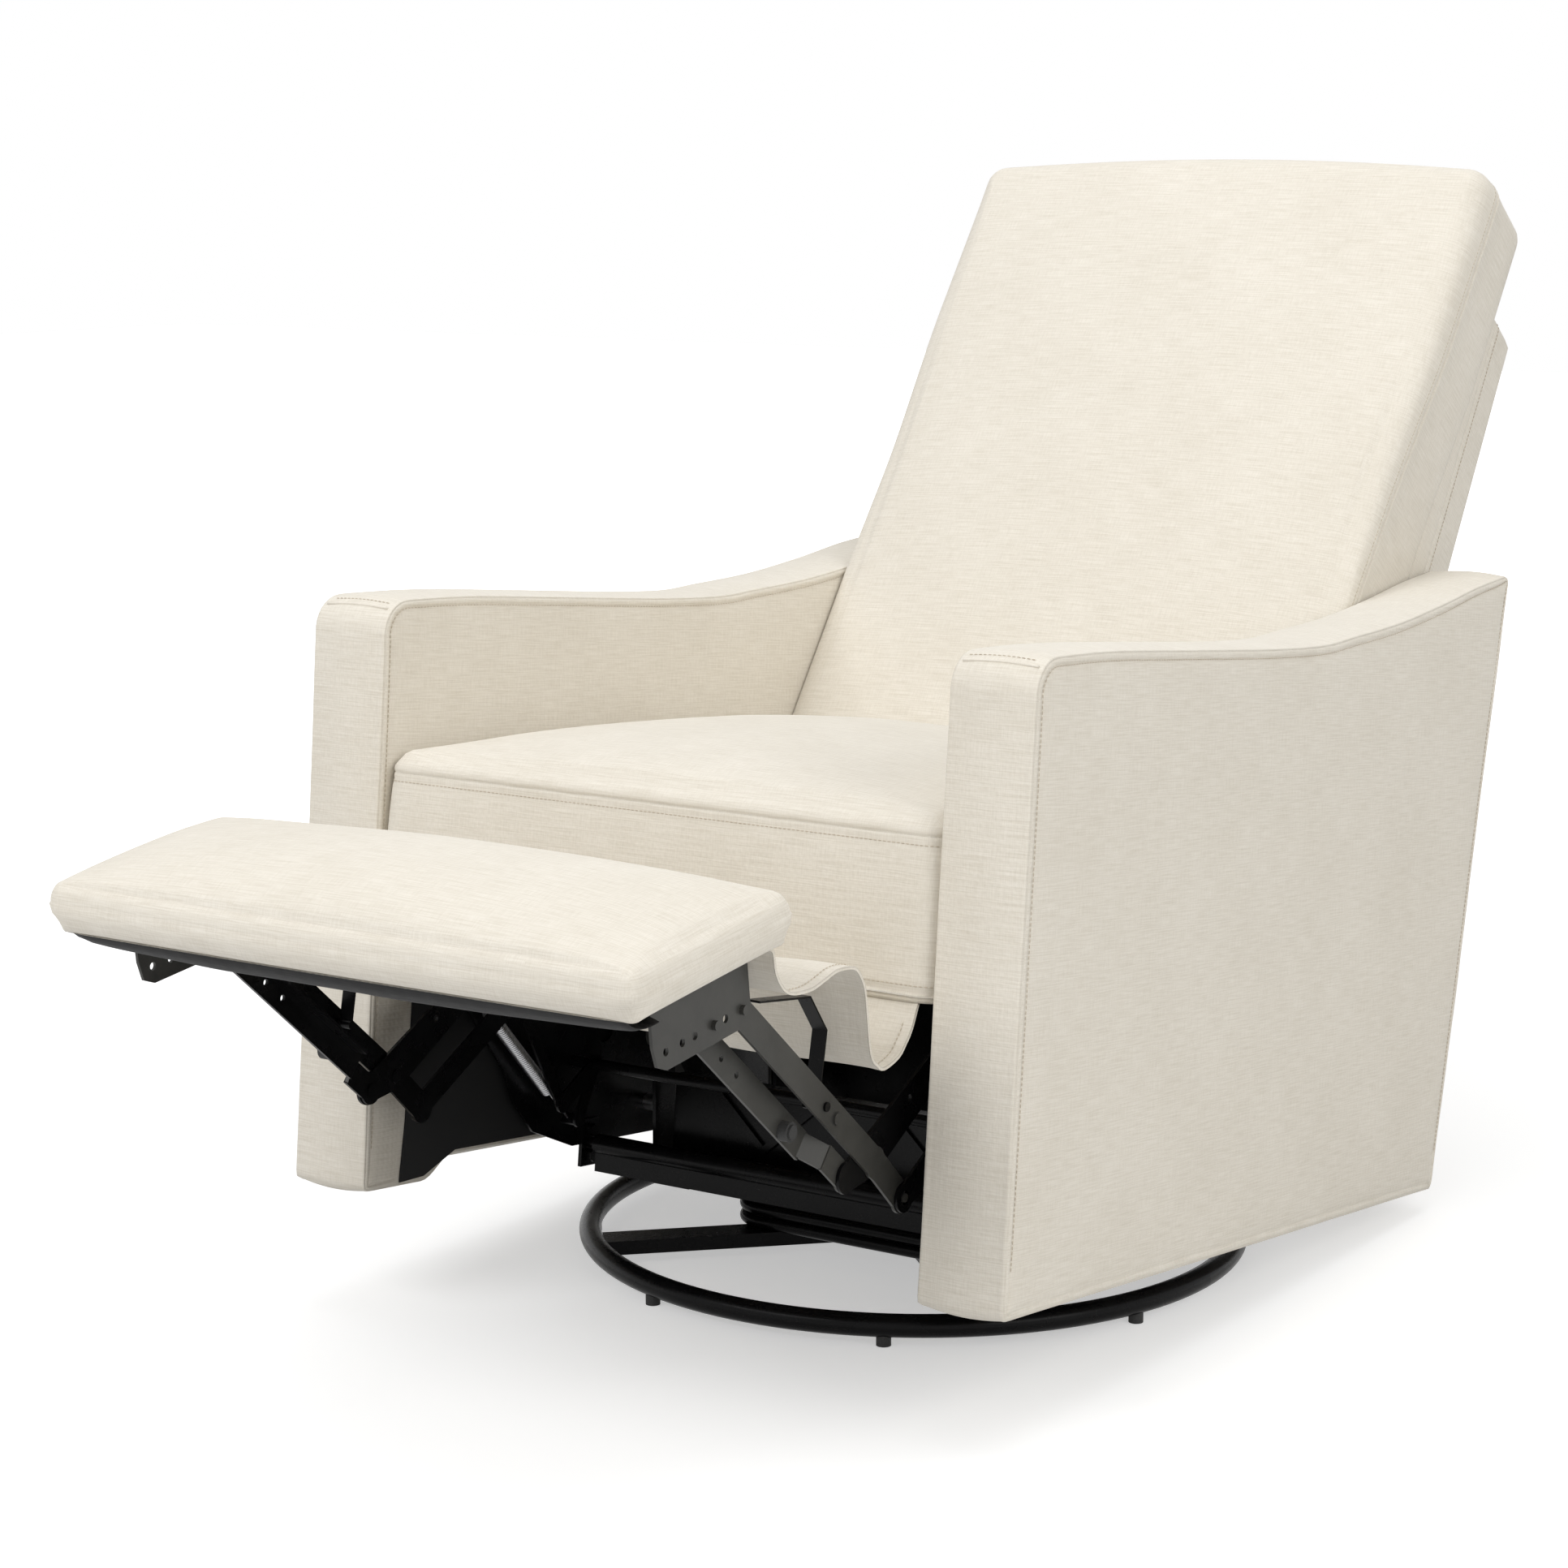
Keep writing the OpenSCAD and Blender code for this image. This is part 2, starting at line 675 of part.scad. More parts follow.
module seat_springs() {
    wire = 4;
    spring_count = 5;
    pitch = 2 * (seat_half - board_t) / spring_count;
    spring_z = seat_frame_z + seat_frame_h - wire - 4;
    color(zinc) chair() for (k = [0 : spring_count - 1])
        translate([-seat_half + board_t + pitch * (k + 0.5), 0, spring_z]) linear_extrude(wire)
            zigzag(seat_front + board_t + run_gap, frame_rear - board_t - run_gap, 24, wire, 19);
}

module seat_cushion() {
    color(cream) chair()
        translate([0, (seat_rear + arm_front_y) / 2, seat_frame_z + seat_frame_h + soft_gap])
            soft_block(2 * (arm_x - 2), seat_rear - arm_front_y, seat_cushion_h, seat_crown);
}

module seat_border() {
    color(cream) chair() translate([-arm_x + 2, arm_front_y, seat_frame_z - 6])
        cube([2 * (arm_x - 2), seat_front - arm_front_y - soft_gap, seat_frame_h + 5]);
}

// The arm's outline: a rounded front corner, a level top that sweeps up to the rear
module arm_outline(inset) {
    front_r = 34;
    low_r = 10;
    rear_top = [494, arm_top_z + arm_rise];
    rear_low = [412, arm_bottom_z];
    sweep = [for (i = [0 : 12]) let (s = i / 12)
        [90 + s * (rear_top[0] - 110), arm_top_z + arm_rise * (0.35 * s + 0.65 * s * s)]];
    offset_in = [inset, inset];
    points = concat(
        arc([arm_front_y + low_r, arm_bottom_z + low_r], low_r, 270, 180, 4),
        arc([arm_front_y - 10 + front_r, arm_top_z - front_r], front_r, 180, 90, 8),
        sweep,
        arc(rear_top - [14, 14], 14, 80, -8, 4),
        arc(rear_low + [-12, 12], 12, -8, -90, 4));
    mid = [0, (arm_top_z + arm_bottom_z) / 2];
    scale_in = [1 - inset / 480, 1 - inset / 300];
    polygon([for (p = points) [mid[0] + (p[0] - mid[0]) * scale_in[0],
        mid[1] + (p[1] - mid[1]) * scale_in[1]]]);
}

arm_board_x = arm_x + 12;
arm_tube_hole = drive_tube_d + 8;
module arm_cover() {
    difference() {
        plate(arm_x, arm_w) arm_outline(0);
        plate(arm_board_x - soft_gap, board_t + 2 * soft_gap) arm_outline(26);
        translate([arm_board_x - soft_gap, -430, arm_bottom_z - cut])
            cube([board_t + 2 * soft_gap, 800, 60]);
        cross_bar(drive_axis, arm_tube_hole, arm_x - cut, arm_x + arm_w + cut);
        for (p = arm_bolt_points)
            cross_bar(p, arm_bolt_d + 2 * run_gap, arm_x - cut, arm_board_x + board_t + 1);
        plate(arm_x - cut, arm_board_x - arm_x - soft_gap) polygon(concat(
            [[-388, arm_bottom_z - cut]],
            [for (i = [0 : 8]) [-388 + 46 * i / 8, arm_bottom_z + 11 - 11 * cos(180 * i / 8)]],
            [[500, arm_bottom_z + 22], [500, arm_bottom_z - cut]]));
    }
}

module arm_board() {
    plate(arm_board_x, board_t) difference() {
        arm_outline(28);
        at(drive_axis) circle(d = arm_tube_hole);
        holes(arm_bolt_points, arm_bolt_d + 2 * run_gap);
    }
}

module arm_left() {
    color(cream) chair() arm_cover();
}

module arm_right() {
    color(cream) chair() other_side() arm_cover();
}

module arm_board_left() {
    color(wood) chair() arm_board();
}

module arm_board_right() {
    color(wood) chair() other_side() arm_board();
}

// Thin black cloth panels that close the inner faces of the arms below the seat
module arm_inner_panel() {
    cloth_t = 1;
    front = arm_front_y + 53;
    low = 92;
    top = 330;
    rear_low = 400;
    rear_top = 430;
    plate(arm_x - cloth_t - soft_gap, cloth_t) difference() {
        polygon([[front + 2, 128], [front - 2, low - 22], [front + 34, low - 20], [front + 80, low],
            [rear_low, low], [rear_top, top], [front + 4, top]]);
        at(drive_axis) circle(d = arm_tube_hole);
        holes(arm_bolt_points, arm_spacer_d + 1);
    }
}

module arm_inner_panels() {
    color(cambric) chair() for (side = [0, 1]) mirror([side, 0, 0]) arm_inner_panel();
}

// Places a piece drawn in the back's own frame: x across, y out of the cushion, z up along it
module on_back() {
    translate([0, back_origin[0], back_origin[1]]) rotate([-back_angle, 0, 0]) children();
}

module back_cushion() {
    color(cream) chair() on_back() translate([0, back_cushion_t, 0]) rotate([90, 0, 0])
        translate([0, back_cushion_h / 2, 0])
            soft_block(back_w, back_cushion_h, back_cushion_t, back_crown, 34);
}

shell_y = back_cushion_t + soft_gap;
module back_shell() {
    half = back_w / 2;
    color(cream) chair() difference() {
        on_back() translate([0, shell_y, shell_low]) difference() {
            plate(-half, 2 * half)
                polygon([[0, 0], [back_shell_foot_t, 0], [back_shell_t, back_shell_h], [0, back_shell_h]]);
            translate([-half + shell_wall, -cut, shell_wall])
                cube([2 * (half - shell_wall), shell_pocket + cut, back_shell_h - 2 * shell_wall]);
        }
        for (side = [0, 1]) mirror([side, 0, 0])
            plate(bracket_x - soft_gap, link_t + 2 * soft_gap) back_bracket_outline(2 * soft_gap);
    }
}

module back_frame() {
    half = back_w / 2 - shell_wall - 3;
    rail_w = 50;
    h = back_shell_h - 2 * shell_wall - 2 * soft_gap;
    t = shell_pocket - 2 * soft_gap;
    color(wood) chair() difference() {
        on_back() translate([0, shell_y + soft_gap, shell_low + shell_wall + soft_gap])
            difference() {
                translate([-half, 0, 0]) cube([2 * half, t, h]);
                for (k = [0, 1]) translate([-half + rail_w, -cut, rail_w + k * (h - rail_w) / 2])
                    cube([2 * (half - rail_w), t + 2 * cut, (h - 3 * rail_w) / 2]);
            }
        for (side = [0, 1]) mirror([side, 0, 0])
            plate(bracket_x - soft_gap, link_t + 2 * soft_gap) back_bracket_outline(2 * soft_gap);
    }
}

bracket_x = side_x - link_t - plate_gap;
bracket_w = 30;
bracket_knee = back_origin - 12 * back_up - (back_cushion_t + bracket_w / 2 + 2) * back_out;
bracket_root = bracket_knee + 230 * back_up;
module back_bracket_outline(grow) {
    bar_outline(back_hinge, bracket_knee, bracket_w + grow);
    bar_outline(bracket_knee, bracket_root, bracket_w + grow);
}

module back_bracket() {
    plate(bracket_x, link_t) difference() {
        back_bracket_outline(0);
        at(back_hinge) circle(d = rivet_d + 2 + 2 * run_gap);
    }
}

module back_brackets() {
    color(black_paint) chair() for (side = [0, 1]) mirror([side, 0, 0]) back_bracket();
}

module back_hinge_pins() {
    d = rivet_d + 2;
    color(zinc) chair() for (side = [0, 1]) mirror([side, 0, 0]) {
        cross_bar(back_hinge, d, bracket_x - 4, side_x + link_t);
        cross_bar(back_hinge, d + 6, bracket_x - 7, bracket_x - 4);
        cross_bar(back_hinge, d + 6, side_x + link_t, side_x + link_t + 3);
    }
}

// Pins and spacers on the side plates for the upper and lower links
module linkage_pins() {
    color(zinc) chair() for (side = [0, 1]) mirror([side, 0, 0]) {
        cross_bar(upper_pivot, rivet_d, upper_x - plate_gap, side_x + link_t);
        cross_bar(upper_pivot, rivet_d + 6, upper_x - plate_gap - 2, upper_x - plate_gap);
        cross_bar(upper_pivot, rivet_d + 7, upper_x + link_t + plate_gap, side_x);
        cross_bar(lower_pivot, rivet_d, lower_x - plate_gap, side_x + link_t);
        cross_bar(lower_pivot, rivet_d + 5, lower_x - plate_gap - 2, lower_x - plate_gap);
        cross_bar(lower_pivot, rivet_d + 7, lower_x + link_t + plate_gap, side_x);
    }
}

// The upper link turns on the side plate and ends at the front link's foot
module upper_link() {
    plate(upper_x, link_t) difference() {
        union() {
            bar_outline(upper_pivot, knee_pivot, link_w);
            bar_outline(knee_pivot, tip_pivot, link_w);
            bar_outline(upper_pivot, tip_pivot, link_w);
        }
        at(knee_pivot) circle(d = rivet_d + 2 * run_gap);
        at(upper_pivot) circle(d = rivet_d + 2 * run_gap);
        at(tip_pivot) circle(d = rivet_d);
        holes([for (s = [0.3, 0.42, 0.6]) upper_pivot + s * (tip_pivot - upper_pivot)], 7);
    }
    rivet(tip_pivot, tip_x - 2 * plate_gap, upper_x + link_t);
}

flap_strap_foot = rear_pad_pivot + 0.62 * (knee_pivot - rear_pad_pivot);
module rear_ottoman_link() {
    plate(rear_x, link_t) difference() {
        union() {
            bar_outline(rear_pad_pivot, knee_pivot, link_w);
            bar_outline(knee_pivot, lower_knee, link_w);
        }
        at(rear_pad_pivot) circle(d = rivet_d + 2 * run_gap);
        at(lower_knee) circle(d = rivet_d);
        at(knee_pivot) circle(d = rivet_d);
        at(flap_strap_foot) circle(d = rivet_d);
    }
    rivet(knee_pivot, upper_x - 2 * plate_gap, rear_x + link_t);
    cross_bar(lower_knee, rivet_d, rear_x, lower_x + link_t + 0.5);
    cross_bar(rear_pad_pivot + 0.7 * (knee_pivot - rear_pad_pivot), rivet_d + 3,
        rear_x + link_t, rear_x + link_t + 2);
}

// The front link is a channel whose foot steps outwards to meet the upper link
module front_ottoman_link() {
    dir = unit(tip_pivot - front_pad_pivot);
    shank_w = neck * link_w;
    tip_w = shank_w - 2;
    flange = 13;
    tip_len = 34;
    step_len = 20;
    lap = 3;
    span = long_link_len - tip_len - step_len;
    step_out = tip_x - web_x;
    tuck = 0.2;
    difference() {
        union() {
            plate(web_x, link_t) at(front_pad_pivot) circle(d = link_w);
            plate(tip_x, link_t) at(tip_pivot) circle(d = link_w - 2);
            rotate_about(front_pad_pivot, atan2(dir[1], dir[0])) {
                translate([web_x, 0, -shank_w / 2]) cube([link_t, span + lap, shank_w]);
                translate([tip_x, long_link_len - tip_len - lap, -tip_w / 2])
                    cube([link_t, tip_len + lap, tip_w]);
                translate([web_x + tuck, span, 0.5 - tip_w / 2])
                    rotate([0, 0, -atan2(step_out, step_len)])
                        cube([link_t, norm([step_out, step_len]), tip_w - 1]);
                translate([web_x - flange, 10, shank_w / 2 - link_t])
                    cube([flange + 1, span - 16, link_t - tuck]);
            }
        }
        cross_bar(tip_pivot, rivet_d + 2 * run_gap, tip_x - cut, upper_x);
        cross_bar(front_pad_pivot, rivet_d + 2 * loop_clearance, web_x - cut,
            web_x + link_t + cut);
        for (s = [62, 90]) cross_bar(front_pad_pivot + s * dir, 6, web_x - cut,
            web_x + link_t + cut);
    }
}

// The lower link is pushed by the drive crank through the drive link
module lower_link() {
    plate(lower_x, link_t) difference() {
        bar_outline(lower_pivot, lower_knee, link_w - 2);
        at(lower_pivot) circle(d = rivet_d + 2 * run_gap);
        at(lower_knee) circle(d = rivet_d + 2 * loop_clearance);
        at(drive_hole) circle(d = rivet_d);
    }
    cross_bar(drive_hole, rivet_d, lower_x, drive_x + link_t + 0.5);
}

module drive_link() {
    plate(drive_x, link_t) difference() {
        bar_outline(crank_end, drive_hole, 14);
        at(crank_end) circle(d = rivet_d + 2 * run_gap);
        at(drive_hole) circle(d = rivet_d + 2 * loop_clearance);
    }
}

// The drive tube turns in both side plates; its outer end carries the hand lever
module drive_tube() {
    lever_angle = 56;
    lever_len = 170;
    lever_x = arm_x + arm_w + 5;
    grip = drive_axis + lever_len * polar(lever_angle);
    inner_end = side_x + link_t + 3;
    color(black_paint) chair() {
        cross_bar(drive_axis, drive_tube_d, -lever_x - 6, inner_end);
        for (side = [0, 1]) mirror([side, 0, 0]) {
            plate(lower_x, link_t) {
                bar_outline(drive_axis, crank_end, 20);
                bar_outline(drive_axis, spring_hook, 16);
            }
            cross_bar(crank_end, rivet_d, lower_x, drive_x + link_t + 0.5);
            spring_tab();
        }
        other_side() plate(lever_x, 6) difference() {
            union() {
                bar_outline(drive_axis, grip, 22);
                at(grip) circle(d = 34);
            }
        }
    }
}

// The tab on the crank that takes the spring's lower end
module spring_tab() {
    difference() {
        rotate_about(spring_hook, spring_angle) translate([lower_x, 0, -6])
            cube([spring_x + 6 - lower_x, link_t, 12]);
        spring_axis_hole(spring_wire + 0.6);
    }
}

module upper_link_left() {
    color(black_paint) chair() upper_link();
}

module upper_link_right() {
    color(black_paint) chair() other_side() upper_link();
}

module rear_ottoman_link_left() {
    color(grey_paint) chair() rear_ottoman_link();
}

module rear_ottoman_link_right() {
    color(black_paint) chair() other_side() rear_ottoman_link();
}

module front_ottoman_link_left() {
    color(grey_paint) chair() front_ottoman_link();
}

module front_ottoman_link_right() {
    color(black_paint) chair() other_side() front_ottoman_link();
}

module lower_link_left() {
    color(black_paint) chair() lower_link();
}

module lower_link_right() {
    color(black_paint) chair() other_side() lower_link();
}

module drive_links() {
    color(black_paint) chair() for (side = [0, 1]) mirror([side, 0, 0]) drive_link();
}

// The footrest's own frame: origin at its rear pivot, y back along the pad, z out of its top
pad_bottom = 49.6;
pad_rear = 36;
board_inset = 12;
module on_pad() {
    translate([0, rear_pad_pivot[0], rear_pad_pivot[1]]) rotate([pad_dip, 0, 0]) children();
}

module footrest_bracket() {
    front = -120;
    rear = 12;
    pin_x = web_x - 3;
    bracket_top = pad_bottom - soft_gap;
    color(grey_paint) chair() on_pad() {
        plate(lower_x, link_t) difference() {
            polygon([[rear - 6, -15], [front + 16, -15], [front + 4, -9], [front, 8],
                [front, bracket_top], [rear, bracket_top], [rear, -6]]);
            holes([for (s = [23, 65, 82, 104]) [-s, 0]], 7);
            holes([[0, 0], [-bracket_pitch, 0]], rivet_d);
        }
        translate([lower_x - 25, front, bracket_top - link_t])
            cube([25, rear - front, link_t]);
        cross_bar([0, 0], rivet_d, rear_x - 2, lower_x + link_t + 4);
        cross_bar([-bracket_pitch, 0], rivet_d, pin_x, lower_x + link_t + 4);
    }
}

module footrest_bracket_left() {
    footrest_bracket();
}

module footrest_bracket_right() {
    other_side() footrest_bracket();
}

module footrest_board() {
    color(wood) chair() on_pad()
        translate([-pad_w / 2 + board_inset, pad_rear - pad_l + board_inset, pad_bottom])
            cube([pad_w - 2 * board_inset, pad_l - 2 * board_inset, pad_board_t]);
}

module footrest_pad() {
    pocket = board_inset - soft_gap;
    color(cream) chair() on_pad() difference() {
        translate([0, pad_rear - pad_l / 2, pad_bottom])
            soft_block(pad_w, pad_l, pad_t, pad_crown, 20);
        translate([-pad_w / 2 + pocket, pad_rear - pad_l + pocket, pad_bottom - cut])
            cube([pad_w - 2 * pocket, pad_l - 2 * pocket, pad_board_t + soft_gap + cut]);
    }
}

// Black cloth that sags under the footrest board between the two brackets
module footrest_cambric() {
    half = lower_x - 30;
    sag = 16;
    inset = 26;
    depth = pad_l - inset - 20;
    rows = 8;
    cloth_t = 1;
    curve = [for (i = [0 : rows]) let (s = i / rows) [-depth * s, -sag * sin(180 * s)]];
    back_curve = [for (i = [rows : -1 : 0]) curve[i] + [0, -cloth_t]];
    color(cambric) chair() on_pad() translate([0, pad_rear - inset, pad_bottom - soft_gap])
        plate(-half, 2 * half) polygon(concat(curve, back_curve));
}

// Round rubber bumpers stand on the front links
module link_bumpers() {
    dir = unit(tip_pivot - front_pad_pivot);
    at_point = tip_pivot - 88 * dir + 4 * [dir[1], -dir[0]];
    color(rubber) chair() for (side = [0, 1]) mirror([side, 0, 0]) {
        cross_bar(at_point, 17, web_x + link_t, web_x + link_t + 9);
        cross_bar(at_point, 12, web_x + link_t + 9, web_x + link_t + 11);
    }
}

// Bent steel straps inside the rear links hold up the cloth flap
module flap_straps() {
    strap_w = 14;
    strap_t = 2;
    strap_x = upper_x - 2 * plate_gap - strap_w;
    path = [[-672, 336], [-598, 334], [-570, 304], flap_strap_foot];
    color(black_paint) chair() for (side = [0, 1]) mirror([side, 0, 0]) {
        for (i = [0 : len(path) - 2])
            plate(strap_x, strap_w) bar_outline(path[i], path[i + 1], strap_t);
        cross_bar(flap_strap_foot, rivet_d, strap_x, rear_x + link_t + 2);
    }
}

// The cloth flap hangs in folds from the footrest to the seat's front edge
function pad_point(p) = rear_pad_pivot + [p[0] * cos(pad_dip) - p[1] * sin(pad_dip),
    p[0] * sin(pad_dip) + p[1] * cos(pad_dip)];
flap_t = 2;
flap_top = pad_bottom - soft_gap - flap_t / 2;
flap_points = [pad_point([14, flap_top]), [-700, 383], [-694, 364], [-682, 350], [-666, 344],
    [-640, 345], [-605, 357], [-574, 357], [-556, 330], [-544, 286], [-520, 270],
    [-498, 278], [-480, 300], [arm_front_y + 3, seat_frame_z - 6 - soft_gap]];
function spline(p, i, t) =
    let (a = p[max(i - 1, 0)])
    let (b = p[i])
    let (c = p[i + 1])
    let (d = p[min(i + 2, len(p) - 1)])
    0.5 * (2 * b + (c - a) * t + (2 * a - 5 * b + 4 * c - d) * t * t
        + (3 * b - a - 3 * c + d) * t * t * t);
module footrest_flap() {
    steps = 3;
    half = arm_x - 18;
    line = concat([for (i = [0 : len(flap_points) - 2]) for (k = [0 : steps - 1])
        spline(flap_points, i, k / steps)], [flap_points[len(flap_points) - 1]]);
    sides = [for (i = [0 : len(line) - 1]) let (d = unit(cross_path(line, i))) [-d[1], d[0]]];
    upper = [for (i = [0 : len(line) - 1]) line[i] + flap_t / 2 * sides[i]];
    lower = [for (i = [len(line) - 1 : -1 : 0]) line[i] - flap_t / 2 * sides[i]];
    color(cream) chair() plate(-half, 2 * half) polygon(concat(upper, lower));
}

// A close-wound spring on the line between its two anchors, with straight ends
spring_sides = 6;
curl_rings = 8;
spring_span = norm(spring_hook - spring_fixed);
spring_start = (spring_span - spring_len) / 2;
coil_r = (spring_d - spring_wire) / 2;
function coil_point(k) =
    let (turn = k / curl_rings)
    let (ease = min(1, min(turn, spring_curls - turn)))
    [coil_r * ease * cos(360 * turn), spring_start + spring_len * turn / spring_curls,
        coil_r * ease * sin(360 * turn)];
spring_path = concat([[0, -link_t, 0], [0, spring_start - 2 * spring_wire, 0]],
    [for (k = [0 : spring_curls * curl_rings]) coil_point(k)],
    [[0, spring_span - spring_start + 2 * spring_wire, 0], [0, spring_span + link_t, 0]]);
spring_pitch_gap = spring_len / spring_curls - spring_wire;
function ring_at(i, j) =
    let (d = unit(cross_path(spring_path, i)))
    let (u = unit(cross(d, abs(d[1]) > 0.99 ? [1, 0, 0] : [0, 1, 0])))
    let (flat = abs(d[1]) > 0.99 ? [1, 0, 0] : u)
    let (v = cross(d, flat))
    spring_path[i] + spring_wire / 2 * (cos(360 * j / spring_sides) * flat
        + sin(360 * j / spring_sides) * v);
module spring_body() {
    n = len(spring_path);
    points = [for (i = [0 : n - 1]) for (j = [0 : spring_sides - 1]) ring_at(i, j)];
    function id(i, j) = i * spring_sides + j % spring_sides;
    side_a = [for (i = [0 : n - 2]) for (j = [0 : spring_sides - 1])
        [id(i, j), id(i, j + 1), id(i + 1, j + 1)]];
    side_b = [for (i = [0 : n - 2]) for (j = [0 : spring_sides - 1])
        [id(i, j), id(i + 1, j + 1), id(i + 1, j)]];
    cap_a = [for (j = [1 : spring_sides - 2]) [0, j + 1, j]];
    last = (n - 1) * spring_sides;
    cap_b = [for (j = [1 : spring_sides - 2]) [last, last + j, last + j + 1]];
    polyhedron(points, concat(side_a, side_b, cap_a, cap_b), convexity = 10);
}

module assist_spring() {
    rotate_about(spring_fixed, spring_angle) translate([spring_x, 0, 0]) spring_body();
}

module assist_spring_left() {
    color(zinc) chair() assist_spring();
}

module assist_spring_right() {
    color(zinc) chair() other_side() assist_spring();
}

echo("least gap between spring curls", spring_pitch_gap);
echo("front_pad", pitched(front_pad_pivot), "rear_pad", pitched(rear_pad_pivot));
echo("knee", pitched(knee_pivot), "lower_knee", pitched(lower_knee), "tip", pitched(tip_pivot));
echo("upper", pitched(upper_pivot), "lower", pitched(lower_pivot));
echo("drive", pitched(drive_axis), "crank", pitched(crank_end), "back", pitched(back_hinge));
echo("glide_front", glide_front_pin, "glide_rear", glide_rear_pin);

base_ring();
base_crossbars();
base_feet();
swivel_lower_plate();
swivel_balls();
ball_cage();
king_bolt();
swivel_upper_plate();
turntable_bars();
glide_post_left();
glide_post_right();
glide_upper_pins();
front_swing_link_left();
front_swing_link_right();
rear_swing_link_left();
rear_swing_link_right();
glide_lower_pins();
side_plate_left();
side_plate_right();
front_cross_rail();
rear_cross_rail();
rail_bolts();
arm_bolts();
linkage_pins();
stamped_panel();
seat_frame();
seat_springs();
seat_cushion();
seat_border();
arm_left();
arm_right();
arm_board_left();
arm_board_right();
arm_inner_panels();
back_frame();
back_shell();
back_cushion();
back_brackets();
back_hinge_pins();
upper_link_left();
upper_link_right();
rear_ottoman_link_left();
rear_ottoman_link_right();
front_ottoman_link_left();
front_ottoman_link_right();
lower_link_left();
lower_link_right();
drive_tube();
drive_links();
footrest_bracket_left();
footrest_bracket_right();
footrest_board();
footrest_pad();
footrest_cambric();
link_bumpers();
flap_straps();
footrest_flap();
assist_spring_left();
assist_spring_right();
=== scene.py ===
"""Looks for the swivel recliner: upholstery, cloth, springs, finishes, light and camera."""

import json
import math

import bpy
import numpy as np
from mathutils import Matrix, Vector, noise
from mathutils.geometry import delaunay_2d_cdt


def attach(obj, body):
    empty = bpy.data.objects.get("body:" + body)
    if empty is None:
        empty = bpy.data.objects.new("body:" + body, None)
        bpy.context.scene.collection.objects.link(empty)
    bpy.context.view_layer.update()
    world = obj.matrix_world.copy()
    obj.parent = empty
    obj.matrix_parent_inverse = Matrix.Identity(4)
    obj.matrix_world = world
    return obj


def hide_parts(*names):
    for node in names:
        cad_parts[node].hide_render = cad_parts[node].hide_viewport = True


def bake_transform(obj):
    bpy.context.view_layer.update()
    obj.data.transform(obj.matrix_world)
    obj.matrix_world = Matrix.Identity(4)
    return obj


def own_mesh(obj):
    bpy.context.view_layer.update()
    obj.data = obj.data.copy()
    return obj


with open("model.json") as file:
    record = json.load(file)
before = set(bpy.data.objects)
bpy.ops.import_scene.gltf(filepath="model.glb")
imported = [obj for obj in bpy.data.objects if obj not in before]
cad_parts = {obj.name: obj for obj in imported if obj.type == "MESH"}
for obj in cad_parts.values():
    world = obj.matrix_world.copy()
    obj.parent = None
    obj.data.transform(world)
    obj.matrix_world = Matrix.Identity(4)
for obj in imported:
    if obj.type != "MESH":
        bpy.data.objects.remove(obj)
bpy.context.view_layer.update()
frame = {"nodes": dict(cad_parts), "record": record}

# Body pitch at rest, and the lengths that the upholstery shares with the frame, in metres
PITCH = math.radians(6.35)
PITCH_Z = 0.2
ARM_X = 0.303
ARM_W = 0.0845
ARM_BOTTOM = 0.066
SEAT_SEAM_Z = 0.463
BACK_ANGLE = math.radians(29.3)
BACK_ORIGIN = (0.160, 0.452)
BACK_SIZE = (0.602, 0.780, 0.126)
PAD_ANGLE = math.radians(13.3)
PAD_PIVOT = (-0.71297, 0.33499)
PAD_SIZE = (0.604, 0.219, 0.042)


def chair(p):
    """Points of the level chair, put at the body's pitch."""
    p = np.asarray(p, float)
    c, s = math.cos(PITCH), math.sin(PITCH)
    y, z = p[..., 1], p[..., 2] - PITCH_Z
    return np.stack([p[..., 0], y * c + z * s, PITCH_Z - y * s + z * c], -1)


def on_back(p):
    """Points in the back's own frame (x across, y to the rear, z up it), put on the level chair."""
    c, s = math.cos(BACK_ANGLE), math.sin(BACK_ANGLE)
    y, z = p[..., 1], p[..., 2]
    return np.stack([p[..., 0], BACK_ORIGIN[0] + y * c + z * s,
                     BACK_ORIGIN[1] - y * s + z * c], -1)


def on_pad(p):
    """Points in the footrest's own frame, put on the level chair."""
    c, s = math.cos(PAD_ANGLE), math.sin(PAD_ANGLE)
    y, z = p[..., 1], p[..., 2]
    return np.stack([p[..., 0], PAD_PIVOT[0] + y * c - z * s,
                     PAD_PIVOT[1] + y * s + z * c], -1)


def soft_noise(p, scale, seed=0.0):
    """Smooth noise, one value for each point."""
    return np.array([noise.noise(Vector(q) * scale + Vector((seed, seed * 2, -seed))) for q in p])


def smooth_share(share):
    """A share from 0 to 1, eased at both ends."""
    return share * share * (3 - 2 * share)


# Materials
def new_material(name, colour, roughness, metallic=0.0):
    """A plain material, with its node tree and its shader."""
    m = bpy.data.materials.new(name)
    m.use_nodes = True
    tree = m.node_tree
    shader = tree.nodes["Principled BSDF"]
    shader.inputs["Base Color"].default_value = (*colour, 1)
    shader.inputs["Roughness"].default_value = roughness
    shader.inputs["Metallic"].default_value = metallic
    return m, tree, shader


def node(tree, kind, **values):
    """A new node; each value goes to the input of that name, or else to the setting."""
    n = tree.nodes.new(kind)
    for key, value in values.items():
        if key in n.inputs:
            n.inputs[key].default_value = value
        else:
            setattr(n, key, value)
    return n


